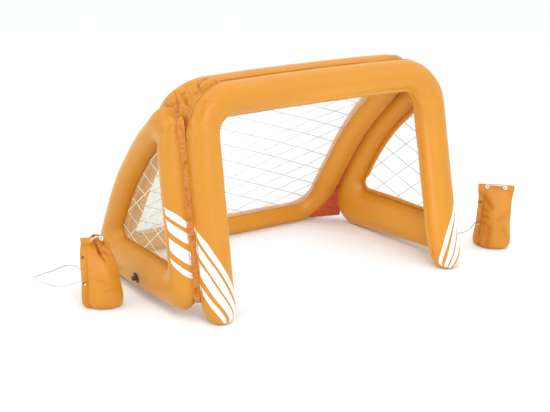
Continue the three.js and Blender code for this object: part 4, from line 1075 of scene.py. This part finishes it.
def slant_strip(sign):
    """Contact line of the back loop's side and the side frame's slant, on the inner side."""
    first, last = arc_steps + 8, arc_steps + back_steps[0] - 8
    outer, inner = back_outer[first:last], back_window[first:last]
    run = (outer[:, 1] + inner[:, 1]) / 2
    normal = back_normal(run)
    centre = back_point((outer[:, 0] + inner[:, 0]) / 2, run) - sink
    towards = unit(np.array([sideways, 0, 0]) - normal * back_set)
    outward = unit(np.array([-back_set, 0, 0]) - normal * sideways)
    flip = handed(sign)
    return (centre + towards * (back_side_radius + seat_gap / 2)) * flip, outward * flip, towards * flip


def bar_strip():
    """Contact line of the arch's top bar and the back loop's top bar, on top."""
    towards = unit(np.array([0, back_top[0] - arch_lean, back_top[1] - top_height]))
    outward = np.array([0, -towards[2], towards[1]])
    x = np.linspace(-bar_strip_half, bar_strip_half, bar_rows)[:, None]
    contact = np.array([1, 0, 0]) * x + np.array([0, arch_lean, top_height - floor_sink]) \
        + towards * (arch_radius + seat_gap / 2)
    one = np.ones((bar_rows, 1))
    return contact, one * outward, one * towards


for side, sign in signs.items():
    # The post strip's slightly darker orange is painted shade of the valley between the posts.
    strip = trough(side + "_post_strip", post_strip(sign), post_strip_size, 30 + sign, 2.4, post_strip_span)
    dress(strip, "goal", post_strip_shade_finish, "orange_vinyl", side + "_post_seam")
    # A thin dark red line where each post strip meets the arch: painted shade of that crevice.
    weld = trough(side + "_post_crevice_shade", post_strip(sign), post_crevice_shade_size, 35 + sign, 1.0, post_crevice_shade_span)
    dress(weld, "goal", valley_shade_finish, "seam_vinyl")
    # The slant strip's dark red is painted shade of the valley between the back loop and the side frame.
    strip = trough(side + "_slant_strip", slant_strip(sign), slant_strip_size, 40 + sign, 1.2)
    dress(strip, "goal", valley_shade_finish, "seam_vinyl", side + "_slant_seam")
strip = trough("top_bar_strip", bar_strip(), bar_strip_size, 50)
dress(strip, "goal", body_vinyl, "orange_vinyl", "top_bar_seam")
print("the top bar's strip has", len(strip.data.polygons), "faces")

# %% [markdown]
# ## Webs
# A crumpled patch closes each top corner, where three chambers crowd together. Its two edges follow lines
# read off the photograph, and it is pushed outwards wherever a tube would poke through it. A small web ties
# each bottom tube to the rear bar and climbs to the seam of the slant. Both are painted darker red as shade:
# the corner patch in its creases and towards its lower end, the web all over, in its creases and most towards
# its crest.

# %% Crumpled corner fills
def pushed_out(points, clearance):
    """Points inside a tube's oval move out along the line from its centre until they clear it."""
    for name in ("front_arch", "right_side_frame", "back_frame"):
        rows = tubes[name]["rows"]
        place = points.reshape(-1, 3)
        row = rows[np.argmin(((place[:, None] - rows[None, :, :3]) ** 2).sum(-1), axis=1)]
        off = place - row[:, :3]
        u, w = (off * row[:, 3:6]).sum(1), (off * row[:, 6:9]).sum(1)
        share = np.sqrt((u / (row[:, 9] + clearance)) ** 2 + (w / (row[:, 10] + clearance)) ** 2)
        flat = row[:, 3:6] * u[:, None] + row[:, 6:9] * w[:, None]
        points = (place + flat * (1 / np.clip(share, 0.2, 1) - 1)[:, None]).reshape(points.shape)
    return points


fill_outer = [[577, 192, 664], [572, 215, 680], [556, 250, 694], [553, 300, 706], [547, 335, 722],
              [534, 322, 748], [513, 304, 770], [483, 286, 789], [447, 277, 801]]
fill_runs, fill_angles, fill_rows, fill_columns = (640, 905), (62, 48), 90, 60
fill_way = unit(np.array([0.5, -0.35, 0.8]))
fill_rise, fill_thick, fill_crumples = 6.0, 2.0, [(7.0, 0, 105), (3.4, 1, 58), (0.8, 2, 30)]


def corner_fill(name, flip, seed):
    """Straight lines from one edge to the other, pushed clear of the tubes and crumpled at three scales."""
    shoulder = tube_point("front_arch", np.linspace(*fill_runs, fill_columns),
                          np.radians(np.linspace(*fill_angles, fill_columns)), -1.0)
    outer, inner = evenly(catmull(np.array(fill_outer, float)), fill_rows), evenly(shoulder, fill_rows)
    s = np.linspace(0, 1, fill_columns)[None, :, None]
    base = outer[:, None] * (1 - s) + inner[:, None] * s
    for _ in range(3):
        base = pushed_out(base, 1.5)
    shown = (np.sin(math.pi * s) ** 0.5)[..., 0]
    deep = sum(depth * creases(base, seed + more, length) for depth, more, length in fill_crumples)
    top = base + fill_way * (shown * (fill_rise - deep + 4.0 * waves(base, seed + 5, 80)))[..., None]
    # valley and folds mark painted shade: darker red in the crumples' creases and towards the patch's lower
    # end.
    valley = np.exp(-(np.linspace(0, 1, fill_rows) / 0.28) ** 2)[:, None]
    folds = np.clip(0.12 * deep - 0.4 + 0.34 * valley, 0, 0.8) * shown
    return skin(name, bowed(two_faces(top, top - fill_way * fill_thick) * flip), capped=True,
                marks={"fold": two_faces(folds, folds)})


for side, sign in signs.items():
    web = corner_fill(side + "_corner_web", handed(sign), 60 + 4 * sign)
    dress(web, "goal", body_vinyl, "orange_vinyl", side + "_top_web")
    print(side, "corner web has", len(web.data.polygons), "faces")

# %% Floor gussets
gusset_height, gusset_reach, gusset_width, gusset_overlap, gusset_rise = 14.0, 50.0, 145.0, 16.0, 6.0
gusset_crest, gusset_crumple, gusset_thick, gusset_steps = 40.0, 1.5, 2.0, 44


def patch(name, a, b, c, seed, flip):
    """Rows from the line a, b that shrink to a short crest about c, crumpled along the web's normal."""
    u, v = np.meshgrid(*[np.linspace(0, 1, gusset_steps)] * 2, indexing="ij")
    low = a * (1 - u[..., None]) + b * u[..., None]
    high = c + unit(b - a) * gusset_crest * (u[..., None] - 0.5)
    narrow = (1 - v[..., None]) ** 2.5
    point = low * narrow + high * (1 - narrow)
    point[..., 2] = (a[2] + (c[2] - a[2]) * v)
    normal = unit(np.cross(b - a, c - a))
    valley = creases(point, seed, 44)
    top = point + normal * (gusset_crumple * (waves(point, seed + 3, 30) - 1.4 * valley))[..., None]
    # folds marks painted shade: darker red in the creases and more so towards the crest.
    folds = np.clip(0.5 * valley + 0.6 * v, 0, 0.9)
    return skin(name, two_faces(top, top - normal * gusset_thick) * flip, capped=True,
                marks={"fold": two_faces(folds, folds)})


for side, sign in signs.items():
    line, rear = side_plane(rear_reach, 0.0)[0], rear_reach - rear_radius + gusset_overlap
    gusset = patch(side + "_gusset", np.array([line, rear - gusset_reach, gusset_height]),
                   np.array([line - gusset_width, rear, gusset_height]),
                   slant_strip(1)[0][0] + [0, 0, gusset_rise], 70 + sign, handed(sign))
    # The web's dark red all over is painted shade of the crevice it fills.
    dress(gusset, "goal", valley_shade_finish, "seam_vinyl", side + "_floor_gusset")
    print(side, "gusset has", len(gusset.data.polygons), "faces")

# %% [markdown]
# ## Printed stripes
# White claw-like stripes are printed on both front posts. Each is given by its two long edges, as places
# along the tube and angles round it, read off the photograph. The side that the picture hides mirrors them.

# %% Stripes on the arch's posts and the side posts
def stripe(name, tube_name, upper, lower, lift=0.35, sunk=0.5):
    """A thin shell on a tube between two edges of (run, angle) places; the two ends of each edge match."""
    edges = []
    for edge in (upper, lower):
        edge = np.array(edge, float)
        run = run_of(edge)
        edges.append(sampled(np.linspace(0, run[-1], 40), run, edge))
    s = np.linspace(0, 1, 9)[None, :, None]
    place = edges[0][:, None] * (1 - s) + edges[1][:, None] * s
    top, under = (tube_point(tube_name, place[..., 0], np.radians(place[..., 1]), up) for up in (lift, -sunk))
    return skin(name, two_faces(top, under), capped=True)


arch_stripes = [
    ([(358, 12), (297, -41), (218, -82), (156, -114), (85, -143), (32, -170)],
     [(346, 19), (317, -2), (262, -37), (203, -71), (144, -100), (80, -130), (19, -160)]),
    ([(306, 9), (263, -25), (211, -57), (153, -86), (93, -111), (48, -131), (14, -153)],
     [(265, 13), (223, -23), (167, -53), (108, -82), (53, -110), (16, -132)]),
    ([(241, 7), (193, -31), (136, -60), (83, -87), (32, -114), (10, -128)],
     [(189, 5), (143, -26), (97, -52), (50, -80), (10, -106)]),
    ([(158, 12), (118, -21), (72, -52), (10, -88)], [(135, 11), (100, -14), (56, -42), (10, -68)])]
side_stripes = [
    ([(394, 88), (377, 35), (344, -8)], [(368, 83), (348, 38), (323, -5)]),
    ([(353, 86), (333, 40), (306, -6)], [(316, 79), (294, 38), (269, -5)]),
    ([(291, 79), (270, 35), (244, -9)], [(248, 78), (224, 40), (198, -6)]),
    ([(222, 82), (199, 40), (173, -6)], [(204, 77), (175, 37), (153, -5)])]


def side_run(height, angle):
    """The run down the side post at which the skin at an angle lies at a height."""
    post = sum(side_steps[:3]) + 4 * arc_steps + np.arange(side_steps[3])
    run = tubes["right_side_frame"]["run"][post]
    centre, out, across, a, b = at(tubes["right_side_frame"], run)
    heights = (centre + out * a * math.cos(angle) + across * b * math.sin(angle))[:, 2]
    return float(np.interp(-height, -heights, run))


for side, sign in signs.items():
    whole = tubes["front_arch"]["run"][-1]
    for number, edges in enumerate(arch_stripes, 1):
        shown = [[(run if sign > 0 else whole - run, angle) for run, angle in edge] for edge in edges]
        print_on = stripe(f"{side}_arch_stripe_{number}", "front_arch", *shown)
        dress(print_on, "goal", print_finish, "white_plastic")
    for number, edges in enumerate(side_stripes, 1):
        shown = [[(side_run(height, math.radians(angle)), angle) for height, angle in edge] for edge in edges]
        print_on = stripe(f"{side}_side_stripe_{number}", side + "_side_frame", *shown)
        dress(print_on, "goal", print_finish, "white_plastic")

# %% [markdown]
# ## Anchor bags
# Each bag is a pillow of the same vinyl: full at the bottom, drawn flat to a welded band at the top, with a
# welded fin down its inner edge. It is a stack of rings. Its creases are short lines read off the photograph,
# each with two ends as places across and up the bag, a depth and a width.

# %% Anchor bags
bag_creases = {
    "left": [(-8, 262, 10, 200, 11, 8), (10, 200, 22, 176, 6, 5), (34, 262, 44, 236, 7, 6),
             (44, 236, 30, 222, 4, 5), (20, 240, 62, 214, 3, 5), (14, 216, 46, 200, 3, 5),
             (30, 204, 66, 188, 2.5, 5), (-40, 120, 20, 96, 1.6, 6), (0, 70, 50, 84, 1.6, 6)],
    "right": [(-64, 229, -14, 172, 4.5, 10), (-70, 168, -30, 158, 3, 7), (-72, 140, -26, 130, 3, 7),
              (-72, 112, -30, 104, 3, 7), (-16, 96, -20, 16, 4, 10), (24, 128, 62, 156, 2.4, 10),
              (44, 90, 66, 34, 2.6, 9), (-52, 78, -46, 20, 2.6, 7)],
}
bag_fold, bag_fold_length, bag_pleat, bag_pleat_length, bulge_limit = 2.6, 74, 1.3, 46, 3
foot_narrowing, foot_thinning, fold_offset, pleat_offset = 0.74, 0.62, 900, 500
foot_share, body_share, foot_rows, body_rows, fin_columns, arc_columns = 0.1, 0.108, 14, 110, 8, 60


def creased(side, across, height):
    """How deep each place lies in the bag's own creases: the sum of depth * exp(-(distance / width)^2)."""
    total = np.zeros(np.shape(across))
    for a0, h0, a1, h1, depth, width in bag_creases[side]:
        along = np.array([a1 - a0, h1 - h0], float)
        t = np.clip(((across - a0) * along[0] + (height - h0) * along[1]) / along.dot(along), 0, 1)
        gap = np.hypot(across - a0 - along[0] * t, height - h0 - along[1] * t)
        total += depth * np.exp(-(gap / width) ** 2)
    return total


def evened(widths, window=7):
    """Widths averaged over their neighbours."""
    return np.convolve(np.pad(widths, window // 2, mode="edge"), np.ones(window) / window, mode="valid")


def bag_skin(side):
    """Ring: flat fin, then half an oval for the front, and the same behind; height rises row by row."""
    bag, seed = bags[side], 80 + signs[side]
    share = np.concatenate([np.linspace(0, foot_share, foot_rows), np.linspace(body_share, 1, body_rows)])
    half_width, half_depth = map(evened, bag_widths(share))
    half_width[0], half_depth[0] = bag_half_width * foot_narrowing, bag_half_depth * foot_thinning
    fin_across, arc = np.linspace(0, fin_width, fin_columns), np.linspace(math.pi, 0, arc_columns)[1:]
    belly = fin_width / 2 + (half_width[:, None] - fin_width / 2) * np.cos(arc)[None]
    across = np.concatenate([-half_width[:, None] + fin_across[None], belly], axis=1)
    body = half_depth[:, None] * np.sin(arc)[None] ** 0.9
    body = np.concatenate([np.zeros((len(share), fin_columns)), body], axis=1)
    bulged = body > bulge_limit
    height = np.broadcast_to((share * bag_height)[:, None], across.shape)
    flat = np.stack([across, height * 0.22, np.zeros_like(across)], -1)
    full = smooth((share - 0.02) / 0.2)[:, None] * smooth((1.02 - share) / 0.2)[:, None]
    rows, marks, seam_rows = [], [], []
    for face in (1, -1):
        folds = -bag_fold * np.abs(waves(flat + [0, 0, fold_offset * face], seed + 1, bag_fold_length)) * full
        pleats = bag_pleat * waves(flat + [0, 0, pleat_offset * face], seed, bag_pleat_length) \
            * smooth((share - 0.25) / 0.5)[:, None] * full
        own = creased(side, across, height) * (face > 0)
        depth = np.maximum(body + (folds + pleats) * bulged - own * bulged, bag_sheet / 2)
        point, front, _ = bag_place(bag, across, height)
        rows.append(point + front * (face * depth)[..., None])
        # The mark is painted shade: darker red along the bag's own creases and where its random folds sink
        # in.
        marks.append(np.clip(0.095 * own - 0.03 * folds * bulged, 0, 0.7))
        seam_rows.append(point)
    rings, middle, shade = two_faces(*rows), two_faces(*seam_rows), two_faces(*marks)
    piece = skin(side + "_anchor_bag_skin", np.concatenate([middle[:1], rings, middle[-1:]]),
                 marks={"fold": np.concatenate([shade[:1], shade, shade[-1:]])})
    shell = bmesh.new()
    shell.from_mesh(piece.data)
    bmesh.ops.remove_doubles(shell, verts=shell.verts, dist=1e-6)
    shell.to_mesh(piece.data)
    shell.free()
    return piece


for side in signs:
    bag_piece = dress(bag_skin(side), side + "_anchor", bag_vinyl, "orange_vinyl", side + "_anchor_bag")
    print(side, "bag", len(bag_piece.data.polygons), "faces")

# %% [markdown]
# ## Eyelets, rings, handles and flaps
# Round things are profiles turned about an axis. A profile is a short list of radius and height, and its
# corners are eased by adding points near them.

# %% Turned pieces
def frame_at(point, z_axis, x_hint):
    """Origin and three directions: Z given, X as near as can be to the hint."""
    z = unit(np.asarray(z_axis, float))
    x = unit(x_hint - z * np.dot(x_hint, z))
    return point, np.stack([x, np.cross(z, x), z])


def eased(profile, ease, most=0.45, inside=0.3):
    """A closed profile with every corner replaced by three points near it."""
    p = np.asarray(profile, float)
    back, ahead = np.roll(p, 1, 0) - p, np.roll(p, -1, 0) - p
    shorter = np.minimum(np.linalg.norm(back, axis=1), np.linalg.norm(ahead, axis=1))
    cut = np.minimum(ease, most * shorter)[:, None]
    back, ahead = unit(back), unit(ahead)
    return np.stack([p + back * cut, p + (back + ahead) * cut * inside, p + ahead * cut], 1).reshape(-1, 2)


def turned(name, profile, place, ease=0.35, sides=40, flute=None):
    """The profile carried round local Z: (r cos a, r sin a, h). Flutes: depth, count and least r."""
    profile = eased(profile, ease)
    origin, axes = place
    a = np.linspace(0, 2 * math.pi, sides, endpoint=False)[:, None]
    radius = np.broadcast_to(profile[None, :, 0], (sides, len(profile))).copy()
    if flute:
        depth, count, least = flute
        radius = radius + depth * np.cos(count * a) * (radius > least)
    local = np.stack([radius * np.cos(a), radius * np.sin(a),
                      np.broadcast_to(profile[None, :, 1], radius.shape)], -1)
    return skin(name, origin + local @ axes, wrap_rows=True)


def eyelet_profile(bore, reach, sheet):
    """Two flanges joined by a barrel through a sheet."""
    grip = sheet / 2 + seat_gap
    return [(bore, -grip - flange), (reach, -grip - flange * 0.5), (reach, -grip), (bore + 1.2, -grip),
            (bore + 1.2, grip), (reach, grip), (reach, grip + flange * 0.5), (bore, grip + flange)]


def ring_place(side, hand):
    """Middle, front and right directions of a bag's inner (-1) or outer (1) ring."""
    return bag_place(bags[side], hand * ring_reach, bag_height - ring_drop)


eyelet_bore, eyelet_flange, ring_bore, ring_flange = 3, 5.6, 4, 9
bag_eyelet = eyelet_profile(eyelet_bore, eyelet_flange, bag_sheet)
tab_eyelet = eyelet_profile(eyelet_bore, eyelet_flange, tab_thick)
bag_ring = eyelet_profile(ring_bore, ring_flange, bag_sheet)
for side, sign in signs.items():
    for label, place in zip(("lower", "upper"), fin_eyes[side]):
        piece = turned(f"{side}_bag_{label}_grommet", bag_eyelet, frame_at(*place))
        dress(piece, side + "_anchor", black_finish, "black_plastic", f"{side}_bag_eyelet_{label}")
    for label, hand in (("inner", -1), ("outer", 1)):
        piece = turned(f"{side}_bag_{label}_grip_ring", bag_ring, frame_at(*ring_place(side, hand)))
        dress(piece, side + "_anchor", white_finish, "white_plastic", f"{side}_bag_ring_{label}")
    outwards = frame_at(tab_eyes[side], upwards, np.array([sign, 0, 0.0]))
    piece = turned(f"{side}_flap_grommet", tab_eyelet, outwards)
    dress(piece, "goal", black_finish, "black_plastic", f"{side}_tether_eyelet")


# %% Flaps for the cords
def flap(name, eye, sign):
    """A small vinyl tongue: rows go round it, columns go hole, top, rim, underside."""
    a = np.linspace(0, 2 * math.pi, 72, endpoint=False)
    reach = tab_reach + tab_overlap
    c, s = np.cos(a), np.sin(a)
    behind = np.minimum(reach / np.maximum(-c, 1e-6), tab_half / np.maximum(np.abs(s), 1e-6))
    far = np.where(c >= 0, tab_half, behind)
    hole, ease, half = 4.5, 0.6, tab_thick / 2
    section = [(0, -half), (0, half), (1, half), (1, -half)]
    columns = []
    for (s0, h0), (s1, h1) in zip(section, section[1:] + section[:1]):
        for t in np.linspace(0, 1, 6, endpoint=False):
            share, h = s0 + (s1 - s0) * t, h0 + (h1 - h0) * t
            r = hole + (far - ease * (abs(h) / half) ** 4 - hole) * share
            columns.append(np.stack([sign * r * c, r * s, np.full_like(r, h)], -1))
    return skin(name, np.stack(columns, 1) + eye, wrap_rows=True)


for side, sign in signs.items():
    tongue = flap(side + "_cord_flap", tab_eyes[side], sign)
    dress(tongue, "goal", body_vinyl, "orange_vinyl", side + "_tether_tab")

# %% [markdown]
# The handle is a short cord through both white rings, knotted behind the sheet. Its arch is a cubic curve,
# and it swings on the rings, so it rides on a body of its own.

# %% Handles
handle_radius, handle_knot, handle_tilt = 2.2, 5.0, math.radians(-20)
handle_lead, handle_bend, handle_rise, handle_tail = 7.0, 8.0, 9.0, 3.5
handle_knot_share, handle_strand, handle_pitch, handle_groove = 0.88, 1.9, 13, 0.45


def turned_about(v, axis, angle):
    """A vector turned about an axis."""
    turned_part = v * math.cos(angle) + np.cross(axis, v) * math.sin(angle)
    return turned_part + axis * axis.dot(v) * (1 - math.cos(angle))


for side in signs:
    ends = [ring_place(side, hand) for hand in (-1, 1)]
    axis = unit(ends[1][0] - ends[0][0])
    grip = bag_sheet / 2 + seat_gap + flange
    leads = [turned_about(front, axis, handle_tilt) for _, front, _ in ends]
    halves = [[point + lead * along for along in (-grip - handle_tail, -grip, 0.0, handle_lead)]
              for (point, _, _), lead in zip(ends, leads)]
    starts = [half[-1] for half in halves]
    bends = [start + lead * handle_bend + [0, 0, handle_rise] for start, lead in zip(starts, leads)]
    t = np.linspace(0, 1, 13)[1:-1, None]
    arch = (1 - t) ** 3 * starts[0] + 3 * (1 - t) ** 2 * t * bends[0] \
        + 3 * (1 - t) * t ** 2 * bends[1] + t ** 3 * starts[1]
    line = evenly(catmull(np.vstack([halves[0], arch, halves[1][::-1]])), 120)
    grip_cord = skin(side + "_handle_cord", bar_grid(line, handle_radius, handle_pitch, handle_groove),
                     capped=True)
    dress(grip_cord, side + "_handle", cord_finish, "white_cord", side + "_bag_handle")
    for label, (point, front, _), lead in zip(("inner", "outer"), ends, leads):
        reach = (handle_knot + grip + seat_gap) / front.dot(lead)
        piece = knot(f"{side}_handle_{label}_knot", point - lead * reach, lead,
                     handle_knot_share * handle_knot, handle_strand)
        dress(piece, side + "_handle", cord_finish, "white_cord")

# %% [markdown]
# ## Valves
# Each chamber has a black plug valve: a soft flange welded to the tube, a stem, and a cap on a strap. The cap
# swings on its joint, so the cap and its strap ride on the cap's body.

# %% Valves
valve_height, valve_bore, valve_reach, valve_root, stem_radius = 12.0, 5.2, 20, 4, 8.0
cap_radius, plug_radius, plug_top, valve_sides, valve_flute = 9, 4.2, 4.6, 56, (0.18, 28, 8.0)
strap_half, strap_near, strap_far, strap_thick, strap_bow, lug_drop = 3.5, 6.5, 13, 1.6, 0.3, 2.5
seat = valve_height + seat_gap
stem_profile = [(valve_bore, -valve_root), (valve_reach, -valve_root), (valve_reach, 1.0), (17, 2.2),
                (stem_radius + 2.5, 3.2), (stem_radius, 5), (stem_radius, valve_height),
                (valve_bore, valve_height)]
cap_profile = [(0.05, seat - valve_root), (plug_radius, seat - valve_root), (plug_top, seat),
               (cap_radius, seat), (cap_radius, seat + 2.5), (5.5, seat + 2.5), (5.0, seat + 2.0),
               (0.05, seat + 2.0)]


def box_bar(name, place, low, high, steps=12, bow=0.0, squareness=0.45):
    """A rounded strap from low to high in a local frame; its section is a flat oval."""
    origin, axes = place
    low, high = np.array(low, float), np.array(high, float)
    x = np.linspace(low[0], high[0], steps)
    t = np.linspace(0, 2 * math.pi, 20, endpoint=False)
    squared = lambda v: np.sign(v) * np.abs(v) ** squareness
    y = (low[1] + high[1]) / 2 + (high[1] - low[1]) / 2 * squared(np.cos(t))
    z = (low[2] + high[2]) / 2 + (high[2] - low[2]) / 2 * squared(np.sin(t))
    lift = bow * np.sin(np.linspace(0, math.pi, steps))
    local = np.stack(np.broadcast_arrays(x[:, None], y[None], z[None] + lift[:, None]), -1)
    return skin(name, origin + local @ axes, capped=True)


def valve(name, point, outward, hinge_side, cap_body, node):
    """Flange, stem with its bore, lug, then plug, cap and strap on the cap's body."""
    place = frame_at(point, outward, hinge_side)
    body = turned(name + "_stem", stem_profile, place, 0.7, valve_sides)
    dress(body, "goal", black_finish, "black_plastic", node)
    lug = box_bar(name + "_lug", place, (valve_bore + 1, -strap_half, valve_height - lug_drop),
                  (strap_far, strap_half, valve_height))
    dress(lug, "goal", black_finish, "black_plastic")
    cap = turned(name + "_plug", cap_profile, place, 0.4, valve_sides, valve_flute)
    dress(cap, cap_body, black_finish, "black_plastic", node + "_cap")
    strap = box_bar(name + "_strap", place, (strap_near, -strap_half, seat),
                    (strap_far, strap_half, seat + strap_thick), bow=strap_bow)
    dress(strap, cap_body, black_finish, "black_plastic")


for side, sign in signs.items():
    point, outward = bottom_skin(sign, 0.5, math.radians(14))
    valve(side + "_side_air_valve", point, outward, np.array([0, 1.0, 0]), side + "_side_cap",
          side + "_side_valve")
arch_valve_height, arch_valve_turn, back_valve_reach = 200, math.radians(30), 320
left_foot, left_axis = foot * handed(-1), post_axis * handed(-1)
away = np.array([math.sin(arch_valve_turn), math.cos(arch_valve_turn), 0])
away = unit(away - left_axis * away.dot(left_axis))
point = left_foot + left_axis * arch_valve_height / left_axis[2] + away * arch_radius - sink
valve("arch_air_valve", point, away, left_axis, "arch_cap", "arch_valve")
point = np.array([back_valve_reach, rear_reach + rear_radius, rear_radius - floor_sink])
valve("back_air_valve", point, np.array([0, 1.0, 0]), np.array([1.0, 0, 0]), "back_cap", "back_valve")

# %% [markdown]
# ## Stage
# A plain pale floor and broad soft light, as in a catalogue photograph: one large lamp high on the left
# front, weaker ones overhead, on the left and on the right, a small one for the glint on the vinyl, and a
# very weak one inside the goal. An even pale sky fills every shadow.

# %% Floor and light
floor_finish, tree = new_material("studio_floor")
pale, paler = (0.865, 0.915, 0.96, 1), (0.895, 0.945, 0.985, 1)
tint = blended(tree, noise(tree, coordinate(tree), 3.0), pale, paler)
close(tree, {"Base Color": tint, "Roughness": 0.9, "Specular IOR Level": 0.1})
mesh = bpy.data.meshes.new("floor")
reach = 30.0
corners = [(-reach, -reach, 0), (reach, -reach, 0), (reach, reach, 0), (-reach, reach, 0)]
mesh.from_pydata(corners, [], [(0, 1, 2, 3)])
mesh.materials.append(floor_finish)
floor = bpy.data.objects.new("floor", mesh)
scene.collection.objects.link(floor)


def lamp(name, place, target, size, power, shown=False):
    """A square area lamp that faces a target; unless shown, it lights the goal without being seen."""
    light = bpy.data.lights.new(name, "AREA")
    light.size, light.energy = size, power
    holder = bpy.data.objects.new(name, light)
    scene.collection.objects.link(holder)
    holder.location = place
    holder.visible_camera = shown
    holder.rotation_euler = (Vector(target) - Vector(place)).to_track_quat("-Z", "Y").to_euler()


lamp("key", (-1.8, -4.8, 3.2), (0, 0, 0.3), 4.0, 86)
lamp("overhead", (0.2, 0.4, 4.5), (0, 0, 0), 5.0, 38, shown=True)
lamp("left", (-4.2, 0.4, 1.8), (-0.6, 0, 0.3), 2.0, 22)
lamp("glint", (-1.6, -3.0, 4.6), (-0.4, -0.2, 0.5), 0.5, 26)
lamp("inner", (-0.25, -0.42, 0.32), (0.35, 0.2, 0.1), 0.5, 1.9)
lamp("fill", (3.2, -2.4, 2.6), (0, 0, 0.3), 3.0, 19)
sky_strength = 1.04
world = bpy.data.worlds.new("studio")
world.use_nodes = True
sky = world.node_tree.nodes["Background"]
sky.inputs["Color"].default_value = (1, 1, 1, 1)
sky.inputs["Strength"].default_value = sky_strength
scene.world = world
scene.view_settings.view_transform = "Standard"
